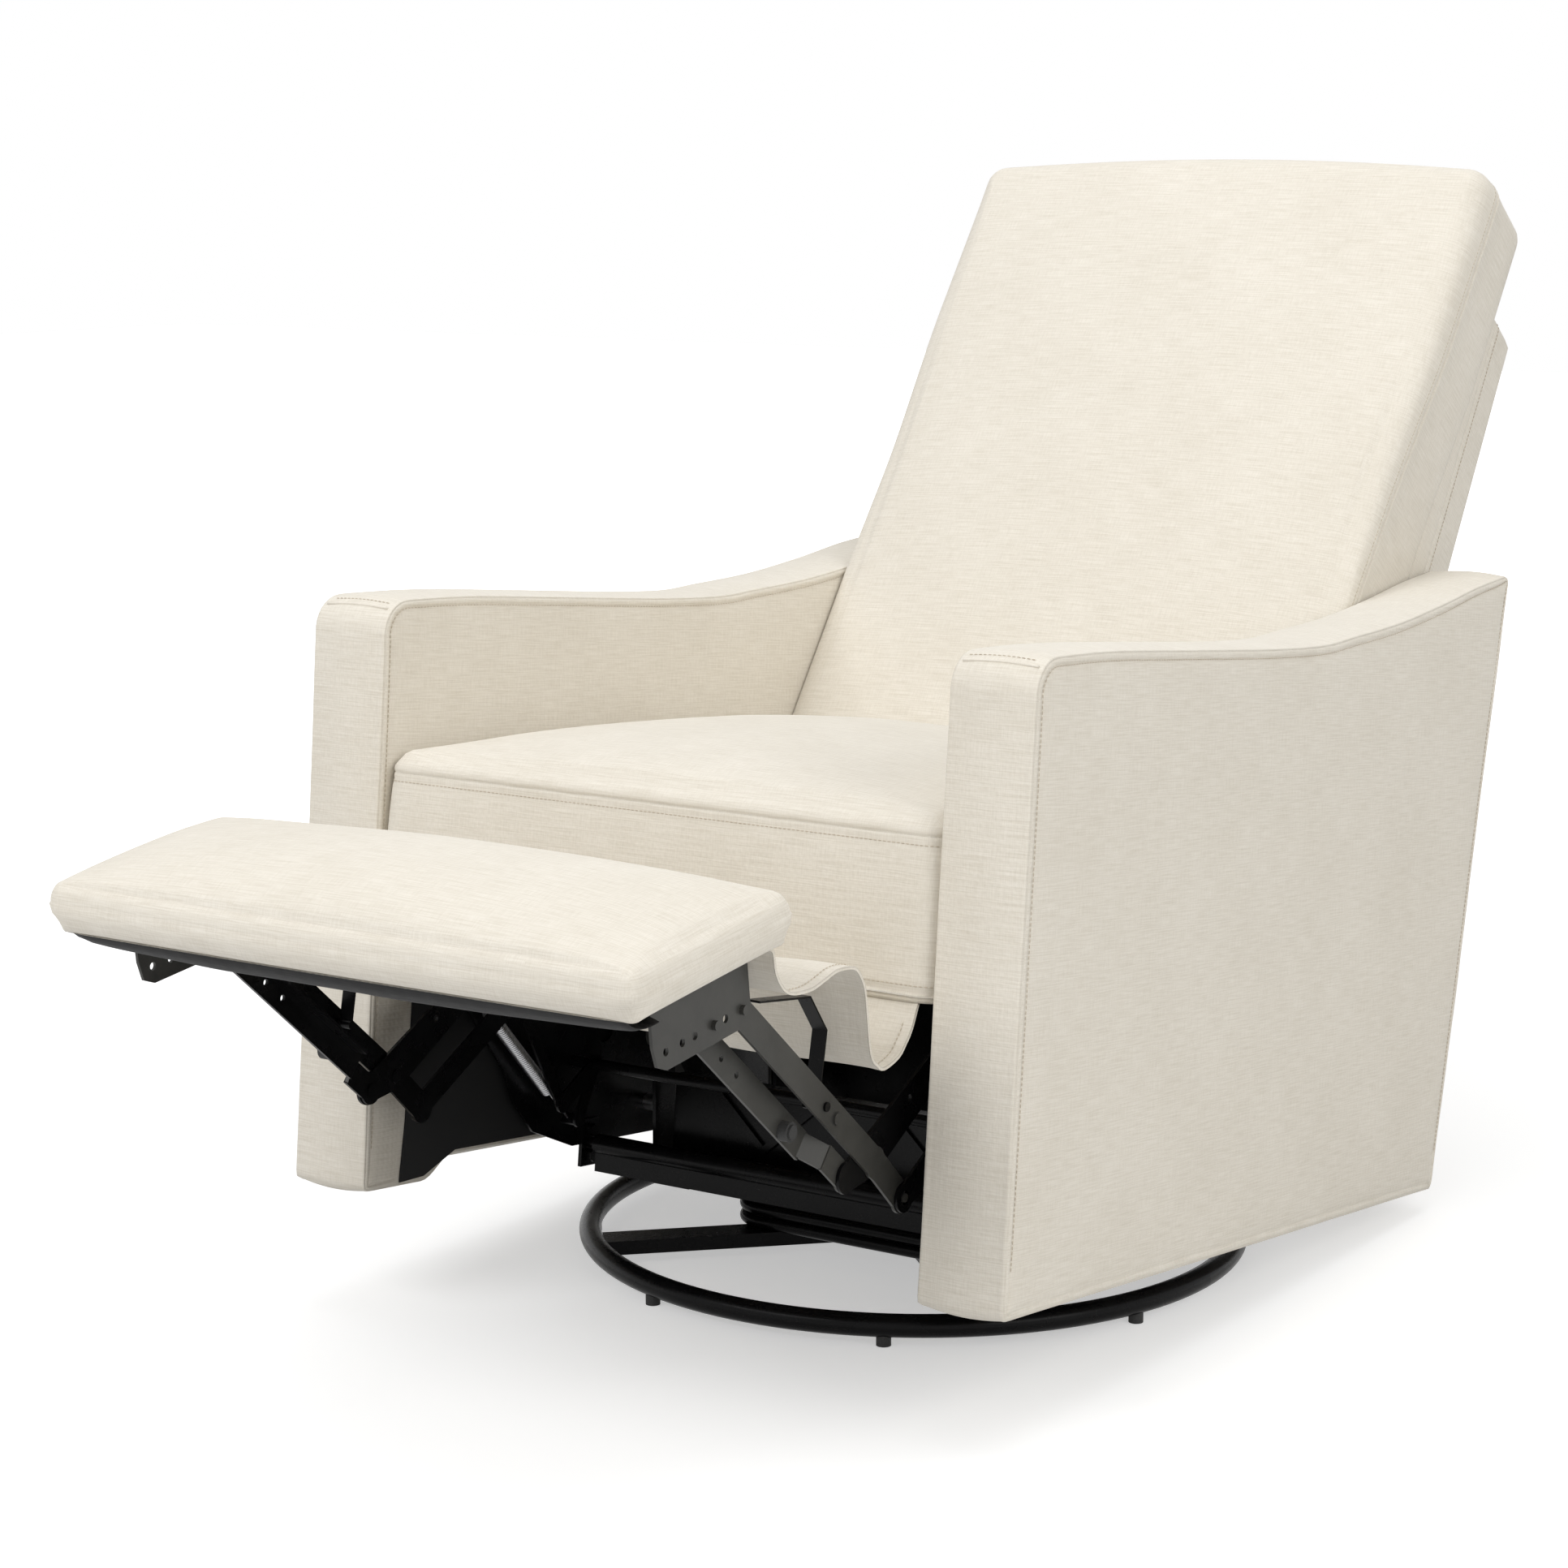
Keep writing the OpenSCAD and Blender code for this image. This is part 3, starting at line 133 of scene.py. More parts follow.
def scaled(tree, source, scale):
    """Coordinates multiplied by the scale on each axis."""
    mapping = tree.nodes.new("ShaderNodeMapping")
    mapping.inputs["Scale"].default_value = scale
    tree.links.new(source, mapping.inputs["Vector"])
    return mapping.outputs["Vector"]


def ramp(tree, source, stops):
    """A colour ramp on the source; each stop is (position, colour)."""
    r = tree.nodes.new("ShaderNodeValToRGB")
    elements = r.color_ramp.elements
    while len(elements) < len(stops):
        elements.new(0.5)
    for element, (position, colour) in zip(elements, stops):
        element.position = position
        element.color = (*colour, 1)
    tree.links.new(source, r.inputs["Fac"])
    return r.outputs["Color"]


def mix_colour(tree, factor, a, b, mode="MIX"):
    """Blends two colours; each of the three may be a value or a socket."""
    m = tree.nodes.new("ShaderNodeMix")
    m.data_type = "RGBA"
    m.blend_type = mode
    for key, value in (("Factor", factor), ("A", a), ("B", b)):
        socket = [i for i in m.inputs if i.name == key and
                  (i.type == "RGBA" or key == "Factor" and i.type == "VALUE")][0]
        if isinstance(value, (int, float)):
            socket.default_value = value
        elif isinstance(value, tuple):
            socket.default_value = (*value, 1)
        else:
            tree.links.new(value, socket)
    return [o for o in m.outputs if o.type == "RGBA"][0]


def add_bump(tree, shader, layers):
    """Stacks bumps on the shader; each layer is (height socket, strength, distance in metres)."""
    normal = None
    for height, strength, distance in layers:
        b = node(tree, "ShaderNodeBump")
        b.inputs["Strength"].default_value = strength
        b.inputs["Distance"].default_value = distance
        tree.links.new(height, b.inputs["Height"])
        if normal is not None:
            tree.links.new(normal, b.inputs["Normal"])
        normal = b.outputs["Normal"]
    tree.links.new(normal, shader.inputs["Normal"])


def noise_map(tree, vector, scale, detail, roughness, distortion=0.0):
    """A noise texture's value on the given coordinates."""
    n = node(tree, "ShaderNodeTexNoise", Scale=scale, Detail=detail, Roughness=roughness,
             Distortion=distortion)
    tree.links.new(vector, n.inputs["Vector"])
    return n.outputs["Fac"]


def object_coords(tree):
    """Coordinates in metres that stay with the piece."""
    return tree.nodes.new("ShaderNodeTexCoord").outputs["Object"]


def vary_roughness(tree, shader, source, low, high):
    """Lets the roughness run from low to high with the source."""
    spread = node(tree, "ShaderNodeMapRange", **{"To Min": low, "To Max": high})
    tree.links.new(source, spread.inputs["Value"])
    tree.links.new(spread.outputs["Result"], shader.inputs["Roughness"])


# A band texture turns this many radians for each unit of its scale
BAND_RADIANS = 20
# The slubs run along u, and the shading of the warp along v
SLUB_SCALE = (28, 900, 1)
WARP_SCALE = (1100, 60, 1)


def woven_cloth(name, light, dark, thread, slub_contrast, sheen, roughness=0.92, diagonal=False):
    """Plain or twill weave on the metre-scaled UV map, with slubs and slight unevenness.

    Bands along u or v lie 2 pi times thread apart, in metres.
    """
    m, tree, shader = new_material(name, light, roughness)
    uv = tree.nodes.new("ShaderNodeUVMap").outputs["UV"]
    cross = node(tree, "ShaderNodeMath", operation="MULTIPLY")
    directions = ("DIAGONAL", "Y") if diagonal else ("X", "Y")
    for k, direction in enumerate(directions):
        wave = node(tree, "ShaderNodeTexWave", wave_type="BANDS", bands_direction=direction,
                    **{"Distortion": 0.35, "Detail": 1.0, "Detail Scale": 0.6})
        wave.inputs["Scale"].default_value = 1.0 / thread / BAND_RADIANS
        tree.links.new(uv, wave.inputs["Vector"])
        tree.links.new(wave.outputs["Fac"], cross.inputs[k])
    slub = noise_map(tree, scaled(tree, uv, SLUB_SCALE), 1.0, 3.0, 0.6)
    warp = noise_map(tree, scaled(tree, uv, WARP_SCALE), 1.0, 2.0, 0.6)
    cloud = noise_map(tree, uv, 9.0, 3.0, 0.55)
    streak = ramp(tree, slub, [(0.36, dark), (0.60, light)])
    base = mix_colour(tree, slub_contrast, light, streak)
    warp_shade = ramp(tree, warp, [(0.38, (0.90, 0.89, 0.87)), (0.6, (1, 1, 1))])
    base = mix_colour(tree, 0.55, base, warp_shade, "MULTIPLY")
    patch = ramp(tree, cloud, [(0.3, (0.955, 0.95, 0.94)), (0.7, (1, 1, 1))])
    base = mix_colour(tree, 1.0, base, patch, "MULTIPLY")
    tree.links.new(base, shader.inputs["Base Color"])
    shader.inputs["Sheen Weight"].default_value = sheen
    shader.inputs["Sheen Roughness"].default_value = 0.5
    shader.inputs["Specular IOR Level"].default_value = 0.25
    add_bump(tree, shader, [(cross.outputs[0], 0.5, thread * 0.35), (slub, 0.35, thread * 0.5)])
    return m


# Steel that shows where the paint is scratched
WORN = (0.05, 0.05, 0.055)


def painted_steel(name, colour, roughness, gloss):
    """Sprayed paint over stamped steel: faint orange peel, smudges and fine scratches."""
    m, tree, shader = new_material(name, colour, roughness)
    coords = object_coords(tree)
    peel = noise_map(tree, coords, 900.0, 2.0, 0.5)
    smudge = noise_map(tree, coords, 22.0, 4.0, 0.6)
    scratch = noise_map(tree, scaled(tree, coords, (60, 900, 900)), 1.0, 3.0, 0.7)
    dusty = tuple(c * 1.5 + 0.001 for c in colour)
    base = ramp(tree, smudge, [(0.35, colour), (0.75, dusty)])
    marks = ramp(tree, scratch, [(0.70, (0, 0, 0)), (0.78, (1, 1, 1))])
    base = mix_colour(tree, marks, base, WORN)
    tree.links.new(base, shader.inputs["Base Color"])
    vary_roughness(tree, shader, smudge, roughness - 0.06, roughness + 0.12)
    shader.inputs["Specular IOR Level"].default_value = gloss
    add_bump(tree, shader, [(peel, 0.12, 0.0004)])
    return m


def bright_metal(name, colour, roughness):
    """Plated metal with a fine mottle."""
    m, tree, shader = new_material(name, colour, roughness, 1.0)
    grain = noise_map(tree, object_coords(tree), 350.0, 4.0, 0.7)
    tint = ramp(tree, grain, [(0.3, tuple(c * 0.8 for c in colour)), (0.7, colour)])
    tree.links.new(tint, shader.inputs["Base Color"])
    vary_roughness(tree, shader, grain, roughness - 0.08, roughness + 0.1)
    add_bump(tree, shader, [(grain, 0.1, 0.0003)])
    return m


def bare_wood(name, light, dark):
    """Raw wood with its rings and fibres along the y axis."""
    m, tree, shader = new_material(name, light, 0.7)
    coords = object_coords(tree)
    ring = noise_map(tree, scaled(tree, coords, (60, 4, 60)), 1.0, 6.0, 0.6, 0.8)
    fibre = noise_map(tree, scaled(tree, coords, (900, 20, 900)), 1.0, 4.0, 0.7)
    tree.links.new(ramp(tree, ring, [(0.35, dark), (0.62, light)]), shader.inputs["Base Color"])
    add_bump(tree, shader, [(fibre, 0.3, 0.0006)])
    return m


def moulded_rubber(name, colour):
    """Matte rubber with a fine grain."""
    m, tree, shader = new_material(name, colour, 0.75)
    grain = noise_map(tree, object_coords(tree), 700.0, 3.0, 0.6)
    base = ramp(tree, grain, [(0.3, colour), (0.7, tuple(c * 1.8 for c in colour))])
    tree.links.new(base, shader.inputs["Base Color"])
    add_bump(tree, shader, [(grain, 0.25, 0.0003)])
    return m


CREAM = woven_cloth("cream_cloth", (0.80, 0.757, 0.678), (0.67, 0.62, 0.53), 0.0011, 0.65, 0.2)
THREAD = woven_cloth("seam_thread", (0.62, 0.55, 0.45), (0.50, 0.43, 0.34), 0.0004, 0.5, 0.2)
DUST = woven_cloth("black_cambric", (0.011, 0.011, 0.0115), (0.004, 0.004, 0.0045), 0.0016, 0.6,
                   0.02, 0.7, True)
BLACK = painted_steel("black_paint", (0.0030, 0.0030, 0.0033), 0.24, 0.11)
GREY = painted_steel("grey_paint", (0.035, 0.0345, 0.0315), 0.36, 0.26)
ZINC = bright_metal("bright_zinc", (0.66, 0.66, 0.68), 0.3)
WOOD = bare_wood("bare_wood", (0.62, 0.44, 0.25), (0.42, 0.27, 0.13))
RUBBER = moulded_rubber("black_rubber", (0.02, 0.02, 0.02))
FINISH = {"black_paint": BLACK, "grey_paint": GREY, "zinc": ZINC, "fabric": CREAM, "wood": WOOD,
          "cambric": DUST, "rubber": RUBBER}


def dress_frame():
    """Gives each solid its finish, and painted steel a soft edge."""
    slots = {s["node"]: s["material_slot"] for s in frame["record"]["subparts"]}
    for name, o in frame["nodes"].items():
        material = FINISH[slots[name]]
        o.data.materials.clear()
        o.data.materials.append(material)
        if slots[name] in ("black_paint", "grey_paint"):
            bevel = o.modifiers.new("soft_edge", "BEVEL")
            bevel.width = 0.0005
            bevel.segments = 2
            bevel.limit_method = "ANGLE"
            bevel.angle_limit = math.radians(40)


# Mesh building
def box_uv(mesh, flat):
    """A metre-scaled UV map; each face is laid along the two axes that it faces least."""
    uv = mesh.uv_layers.new(name="UVMap")
    for polygon in mesh.polygons:
        corners = [flat[mesh.loops[i].vertex_index] for i in polygon.loop_indices]
        n = np.zeros(3)
        for i in range(len(corners)):
            n += np.cross(corners[i], corners[(i + 1) % len(corners)])
        axis = int(np.argmax(np.abs(n)))
        a, b = ((1, 2), (0, 2), (0, 1))[axis]
        for i, c in zip(polygon.loop_indices, corners):
            uv.data[i].uv = (c[a], c[b])


def add_piece(name, verts, faces, material, body, flat=None):
    """Adds a mesh of level-chair points at the body's pitch, and makes it ride on a body."""
    mesh = bpy.data.meshes.new(name)
    world = chair(np.asarray(verts, float))
    mesh.from_pydata([tuple(v) for v in world], [], [tuple(f) for f in faces])
    mesh.validate()
    mesh.polygons.foreach_set("use_smooth", [True] * len(mesh.polygons))
    box_uv(mesh, np.asarray(verts if flat is None else flat, float))
    mesh.materials.append(material)
    o = bpy.data.objects.new(name, mesh)
    bpy.context.collection.objects.link(o)
    if body:
        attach(o, body)
    return o


def grid_faces(rows, columns, closed, flip=False):
    """Quads between rows of points; closed joins the last column to the first."""
    faces = []
    for j in range(rows - 1):
        for i in range(columns if closed else columns - 1):
            a, b = j * columns + i, j * columns + (i + 1) % columns
            quad = (a, b, b + columns, a + columns)
            faces.append(quad[::-1] if flip else quad)
    return faces


def sheet_rim(rows, columns):
    """Quads that join two like grids round their edge, wound for grids made with flip."""
    count = rows * columns
    rim = list(range(columns)) + [j * columns + columns - 1 for j in range(1, rows)]
    rim += [(rows - 1) * columns + i for i in reversed(range(columns - 1))]
    rim += [j * columns for j in reversed(range(1, rows - 1))]
    return [(a, b, b + count, a + count) for a, b in zip(rim, rim[1:] + rim[:1])]


def tube_ends(rings, sides):
    """The two end faces of a tube made of rings of points."""
    last = (rings - 1) * sides
    return [tuple(reversed(range(sides))), tuple(last + k for k in range(sides))]


def catmull(points, step):
    """A smooth open line through the points, sampled about every step metres."""
    p = np.asarray(points, float)
    out = []
    for i in range(len(p) - 1):
        a, b, c, d = p[max(i - 1, 0)], p[i], p[i + 1], p[min(i + 2, len(p) - 1)]
        count = max(1, int(np.linalg.norm(c - b) / step))
        for k in range(count):
            t = k / count
            out.append(0.5 * (2 * b + (c - a) * t + (2 * a - 5 * b + 4 * c - d) * t * t
                              + (3 * b - a - 3 * c + d) * t ** 3))
    out.append(p[-1])
    return np.array(out)


def arc(centre, radius, start, end, count):
    """Points round part of a circle, with the angles in degrees."""
    angles = np.radians(np.linspace(start, end, count))
    return np.stack([centre[0] + radius * np.cos(angles), centre[1] + radius * np.sin(angles)], -1)


def resample(loop, count):
    """A closed line, sampled evenly."""
    closed = np.vstack([loop, loop[:1]])
    length = np.concatenate([[0], np.cumsum(np.linalg.norm(np.diff(closed, axis=0), axis=1))])
    at = np.linspace(0, length[-1], count, endpoint=False)
    return np.stack([np.interp(at, length, closed[:, k]) for k in range(2)], -1)


def outward(loop):
    """Unit normals of a closed anticlockwise line."""
    d = np.roll(loop, -1, 0) - np.roll(loop, 1, 0)
    d /= np.linalg.norm(d, axis=1)[:, None]
    return np.stack([d[:, 1], -d[:, 0]], -1)


def stretches(kept):
    """The kept places on a line, as runs of neighbouring indices."""
    order = np.where(kept)[0]
    return np.split(order, np.where(np.diff(order) > 1)[0] + 1)


def inward_room(loop, normals):
    """Radius of the largest circle inside a closed line that touches it at each point."""
    v = loop[None] - loop[:, None]
    toward = -(v * normals[:, None]).sum(-1)
    radius = (v ** 2).sum(-1) / (2 * np.maximum(toward, 1e-9))
    return np.where(toward > 1e-9, radius, 10.0).min(1)


def inset(loop, normals, room, depth):
    """The line moved inwards by depth, and by less where a corner leaves it no room."""
    move = -room * np.expm1(-depth / room) if depth > 0 else np.full(len(loop), depth)
    return loop - normals * move[:, None]


def fill_inside(edge, step):
    """Extra points and triangles inside a closed line; indices count on from the line's own."""
    axes = [np.arange(low, high, step) for low, high in zip(edge.min(0), edge.max(0))]
    grid = np.stack(np.meshgrid(*axes), -1).reshape(-1, 2)
    following = np.roll(edge, -1, 0)
    rise = following[:, 1] - edge[:, 1]
    above = (edge[None, :, 1] > grid[:, None, 1]) != (following[None, :, 1] > grid[:, None, 1])
    share = (grid[:, None, 1] - edge[None, :, 1]) / np.where(np.abs(rise) < 1e-12, 1, rise)[None]
    cut = edge[None, :, 0] + share * (following - edge)[None, :, 0]
    inside = (above & (grid[:, None, 0] < cut)).sum(1) % 2 == 1
    clear = np.linalg.norm(grid[:, None] - edge[None], axis=-1).min(1) > 0.7 * step
    points = np.vstack([edge, grid[inside & clear]])
    verts, _, faces, sources, _, _ = delaunay_2d_cdt(
        [Vector(q) for q in points], [], [list(range(len(edge)))], 1, 1e-7)
    extra, index = [], []
    for vert, source in zip(verts, sources):
        if source and min(source) < len(edge):
            index.append(min(source))
        else:
            index.append(len(edge) + len(extra))
            extra.append((vert.x, vert.y))
    return np.array(extra), [tuple(index[i] for i in face) for face in faces]


def rounded_rectangle(width, height, radii, step):
    """Anticlockwise from the low right corner; radii are for that corner, then round."""
    centres = ((1, -1), (1, 1), (-1, 1), (-1, -1))
    loop = []
    for k, ((sx, sy), r) in enumerate(zip(centres, radii)):
        c = (sx * (width / 2 - r), sy * (height / 2 - r))
        loop.append(arc(c, r, -90 + 90 * k, 90 * k, 12))
    return resample(np.vstack(loop), int(2 * (width + height) / step))


# Sewing thread: a stitch's length, its spacing, its radius and its form from end to end
STITCH = 0.0034
STITCH_STEP = 0.0046
STITCH_R = 0.00042
STITCH_SIDES = 5
STITCH_PROFILE = [(-0.5, 0.35), (-0.25, 1.0), (0.25, 1.0), (0.5, 0.35)]
# A thread's direction is read this far ahead on its line
LOOK_AHEAD = 0.001


def stitches(name, runs, body):
    """Rows of short threads; a run is (points, normals), open, in level-chair space."""
    verts, faces = [], []
    rings, sides = len(STITCH_PROFILE), STITCH_SIDES
    thread_faces = grid_faces(rings, sides, True) + tube_ends(rings, sides)
    for points, normals in runs:
        points, normals = np.asarray(points, float), np.asarray(normals, float)
        seg = np.linalg.norm(np.diff(points, axis=0), axis=1)
        length = np.concatenate([[0], np.cumsum(seg)])
        for at in np.arange(STITCH_STEP, length[-1] - STITCH_STEP, STITCH_STEP):
            p = np.array([np.interp(at, length, points[:, k]) for k in range(3)])
            q = np.array([np.interp(at + LOOK_AHEAD, length, points[:, k]) for k in range(3)])
            n = np.array([np.interp(at, length, normals[:, k]) for k in range(3)])
            n /= np.linalg.norm(n)
            t = (q - p) / np.linalg.norm(q - p)
            b = np.cross(n, t)
            base = len(verts)
            for along, size in STITCH_PROFILE:
                lift = STITCH_R * (0.2 + 0.6 * size)
                for k in range(sides):
                    a = 2 * math.pi * k / sides
                    verts.append(p + t * along * STITCH + n * lift
                                 + STITCH_R * size * (math.cos(a) * b + math.sin(a) * n))
            faces += [tuple(base + k for k in face) for face in thread_faces]
    return add_piece(name, verts, faces, THREAD, body)


# Arms: two side panels joined by a band that runs up the front, over the top and down the rear
ARM_COLUMNS = 460
ARM_BAND_ROWS = 11
ARM_EDGE = 0.006
ARM_CROWN = 0.003
ARM_FOOT = (-0.4735, 0.069)
ARM_CORNER = (-0.4535, 0.5885)
ARM_CORNER_R = 0.0335
ARM_REAR_CORNER = (0.484, 0.6935)
ARM_REAR_R = 0.008
ARM_STITCH_IN = 0.009
# The black cloth panel covers the inner side below this height and behind this line
PANEL_TOP = 0.350
PANEL_FRONT = -0.440
TOP_LINE = [(-0.450, 0.6225), (-0.362, 0.6265), (-0.220, 0.627), (-0.070, 0.6272), (0.020, 0.629),
            (0.073, 0.632), (0.119, 0.638), (0.220, 0.651), (0.323, 0.670), (0.410, 0.689),
            (0.484, 0.7015)]


def arm_loop(inner):
    """The arm's outline, anticlockwise in the y-z plane; the inner side is cut back below."""
    front = np.array([(-0.475, 0.075), (-0.4865, 0.585)])
    corner = arc(ARM_CORNER, ARM_CORNER_R, 180, 97, 12)
    top = catmull(TOP_LINE, 0.01)
    rear_corner = arc(ARM_REAR_CORNER, ARM_REAR_R, 90, -6, 6)
    foot_end = -0.388
    if inner:
        rise = np.linspace(0, 1, 12)
        bottom = np.stack([foot_end + 0.046 * rise,
                           ARM_BOTTOM + 0.011 * (1 - np.cos(math.pi * rise))], -1)[::-1]
        low = np.vstack([[(0.4085, ARM_BOTTOM + 0.022)], bottom])
        rear = np.array([(0.4135, 0.095)])
    else:
        low = np.array([(0.406, ARM_BOTTOM), (-0.342, ARM_BOTTOM), (foot_end, ARM_BOTTOM)])
        rear = np.array([(0.4120, 0.072)])
    foot = np.array([(-0.467, ARM_BOTTOM), ARM_FOOT])
    clockwise = np.vstack([front, corner, top, rear_corner, rear, low, foot])
    return clockwise[::-1]


# From the band's edge over the seam to the side panel: how far in from the outline, and how deep
ARM_SECTION = [(0.0, 0.0060), (0.0, 0.0036), (0.0004, 0.0018), (0.0012, 0.0006), (0.0020, 0.0010),
               (0.0028, 0.0), (0.0045, -0.0006), (0.0066, -0.0005), (0.0080, 0.0004),
               (0.0090, 0.0006), (0.0100, 0.0002), (0.0130, -0.0005), (0.0200, -0.0010),
               (0.0320, -0.0014)]


def arm_lines():
    """Outline, normals and room of the inner and the outer side."""
    lines = {}
    for inner in (True, False):
        loop = resample(arm_loop(inner), ARM_COLUMNS)
        # Both loops start at the same low front point, so their columns match
        start = np.argmin(np.linalg.norm(loop - np.array(ARM_FOOT), axis=1))
        loop = np.roll(loop, -start, 0)
        normals = outward(loop)
        lines[inner] = (loop, normals, inward_room(loop, normals))
    return lines


def arm_rows(lines):
    """Rows of points from the inner side panel, over the band, to the outer one."""
    rows = []
    for depth_in, depth in reversed(ARM_SECTION):
        rows.append(np.column_stack([np.full(ARM_COLUMNS, depth), inset(*lines[True], depth_in)]))
    for t in np.linspace(0, 1, ARM_BAND_ROWS + 2)[1:-1]:
        q, n = [lines[True][k] * (1 - t) + lines[False][k] * t for k in range(2)]
        crown = ARM_CROWN * (1 - (2 * t - 1) ** 2)
        x = ARM_EDGE + (ARM_W - 2 * ARM_EDGE) * t
        rows.append(np.column_stack([np.full(ARM_COLUMNS, x), q + n * crown]))
    for depth_in, depth in ARM_SECTION:
        q = inset(*lines[False], depth_in)
        rows.append(np.column_stack([np.full(ARM_COLUMNS, ARM_W - depth), q]))
    return rows


def fill_arm_sides(rows):
    """All points and faces of the arm: each side panel is filled in, with a slight crown."""
    count = ARM_COLUMNS
    points = np.vstack(rows)
    faces = grid_faces(len(rows), count, True)
    for inner, first in ((True, 0), (False, (len(rows) - 1) * count)):
        edge = rows[0 if inner else -1][:, 1:]
        extra, triangles = fill_inside(edge, 0.018)
        reach = np.linalg.norm(extra[:, None] - edge[None], axis=-1).min(1)
        depth = ARM_SECTION[-1][1] - 0.0010 * (1 - np.exp(-reach / 0.05))
        x = depth if inner else ARM_W - depth
        for triangle in triangles:
            face = tuple(first + i if i < count else len(points) + i - count for i in triangle)
            faces.append(face[::-1] if inner else face)
        points = np.vstack([points, np.column_stack([x, extra])])
    return points, faces


def uneven_arm(points, side):
    """The sides swell a little, but stay flat where the black cloth panel lies on them."""
    swell = soft_noise(points, 5.0, 3.0 + side) * 0.0011 + soft_noise(points, 16.0, side) * 0.0004
    from_middle = points[:, 0] - ARM_W / 2
    points[:, 0] += swell * np.sign(from_middle) * (np.abs(from_middle) > ARM_W / 2 - 0.003)
    covered = np.clip((PANEL_TOP - points[:, 2]) / 0.016, 0, 1)
    covered *= np.clip((points[:, 1] - PANEL_FRONT) / 0.012, 0, 1) * (points[:, 0] < 0.004)
    points[:, 0] += (np.maximum(points[:, 0], 0.0006) - points[:, 0]) * covered


def corner_line(side, angle):
    """A line across the band at an angle of the rounded front corner, and its normals."""
    across = np.linspace(ARM_EDGE, ARM_W - ARM_EDGE, 20)
    bow = ARM_CROWN * (1 - (2 * across / ARM_W - 1) ** 2)
    d = np.array([math.cos(math.radians(angle)), math.sin(math.radians(angle))])
    at = np.array(ARM_CORNER) + (ARM_CORNER_R - 0.0003) * d
    line = np.column_stack([side * (ARM_X + across), at[0] + bow * d[0], at[1] + bow * d[1]])
    return line, np.tile([0, d[0], d[1]], (len(across), 1))


def arm_stitch_runs(lines, side):
    """Stitching beside both seams, but not along the arm's bottom, and one row on the corner."""
    runs = []
    for inner in (True, False):
        q = lines[inner][0]
        kept = (q[:, 0] < -0.45) & (q[:, 1] > 0.08) | (q[:, 1] > 0.45) | (q[:, 0] > 0.412)
        kept &= q[:, 1] > 0.10
        x = ARM_X - 0.0005 if inner else ARM_X + ARM_W + 0.0003
        for part in stretches(kept):
            line = inset(*lines[inner], ARM_STITCH_IN)[part]
            facing = np.tile([side * (-1 if inner else 1), 0, 0], (len(line), 1))
            runs.append((np.column_stack([np.full(len(line), side * x), line]), facing))
    runs.append(corner_line(side, 122))
    return runs


def make_arm(side):
    """One arm cover; side is 1 for the sitter's left."""
    name = "left" if side > 0 else "right"
    lines = arm_lines()
    points, faces = fill_arm_sides(arm_rows(lines))
    uneven_arm(points, side)
    points[:, 0] = side * (ARM_X + points[:, 0])
    if side < 0:
        faces = [face[::-1] for face in faces]
    o = add_piece(f"arm_cover_{name}", points, faces, CREAM, "chair_frame")
    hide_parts(f"arm_{name}")
    stitches(f"arm_stitches_{name}", arm_stitch_runs(lines, side), "chair_frame")
    ridge(f"arm_cross_seam_{name}", *corner_line(side, 134), 0.0011, "chair_frame")


def ridge(name, line, normals, radius, body):
    """A low rounded ridge of cloth that lies on a surface, half sunk in it."""
    d = np.gradient(line, axis=0)
    d /= np.linalg.norm(d, axis=1)[:, None]
    side = np.cross(normals, d)
    sides = 8
    rings = []
    for k in range(sides):
        a = 2 * math.pi * k / sides
        rings.append(line + radius * (math.cos(a) * side + math.sin(a) * normals))
    verts = np.stack(rings, 1).reshape(-1, 3)
    faces = grid_faces(len(line), sides, True) + tube_ends(len(line), sides)
    return add_piece(name, verts, faces, CREAM, body)


def loft(loop, rows, crown_rows, bottom_rows, steepness=0.62):
    """Rings of a cushion that stands on its outline; each row is (depth in, height)."""
    n = outward(loop)
    room = inward_room(loop, n)
    rings = []
    for scale, height in bottom_rows:
        rings.append(np.column_stack([loop * scale, np.full(len(loop), height)]))
    for depth, height in rows:
        rings.append(np.column_stack([inset(loop, n, room, depth), np.full(len(loop), height)]))
    edge = inset(loop, n, room, rows[-1][0])
    half = np.abs(edge).max(0)
    for scale, crown, height in crown_rows:
        q = edge * scale
        share = (1 - np.clip(np.abs(q[:, 0]) / half[0], 0, 1) ** 2.2) \
            * (1 - np.clip(np.abs(q[:, 1]) / half[1], 0, 1) ** 2.2)
        rings.append(np.column_stack([q, height + crown * np.maximum(share, 0) ** steepness]))
    return rings


def seam_rows(side, low, groove=0.0010, width=0.0010, swell=0.0005):
    """Rows across a sewn seam on an upright side, from below it to above it."""
    near, far = 0.0030, 0.0060
    return [(side - swell * 0.4, low - far), (side - swell, low - near),
            (side - swell * 0.3, low - width), (side + groove, low),
            (side - swell * 0.3, low + width), (side - swell, low + near),
            (side - swell * 0.4, low + far)]


def close_loft(rings):
    """Points and faces of the rings, closed by a middle point at each end."""
    count = len(rings[0])
    verts = np.vstack(rings + [rings[0].mean(0)[None], rings[-1].mean(0)[None]])
    verts[-1, 2] = rings[-1][:, 2].max()
    faces = grid_faces(len(rings), count, True)
    low, top = len(verts) - 2, len(verts) - 1
    last = (len(rings) - 1) * count
    for i in range(count):
        faces.append((low, (i + 1) % count, i))
        faces.append((top, last + i, last + (i + 1) % count))
    return verts, faces


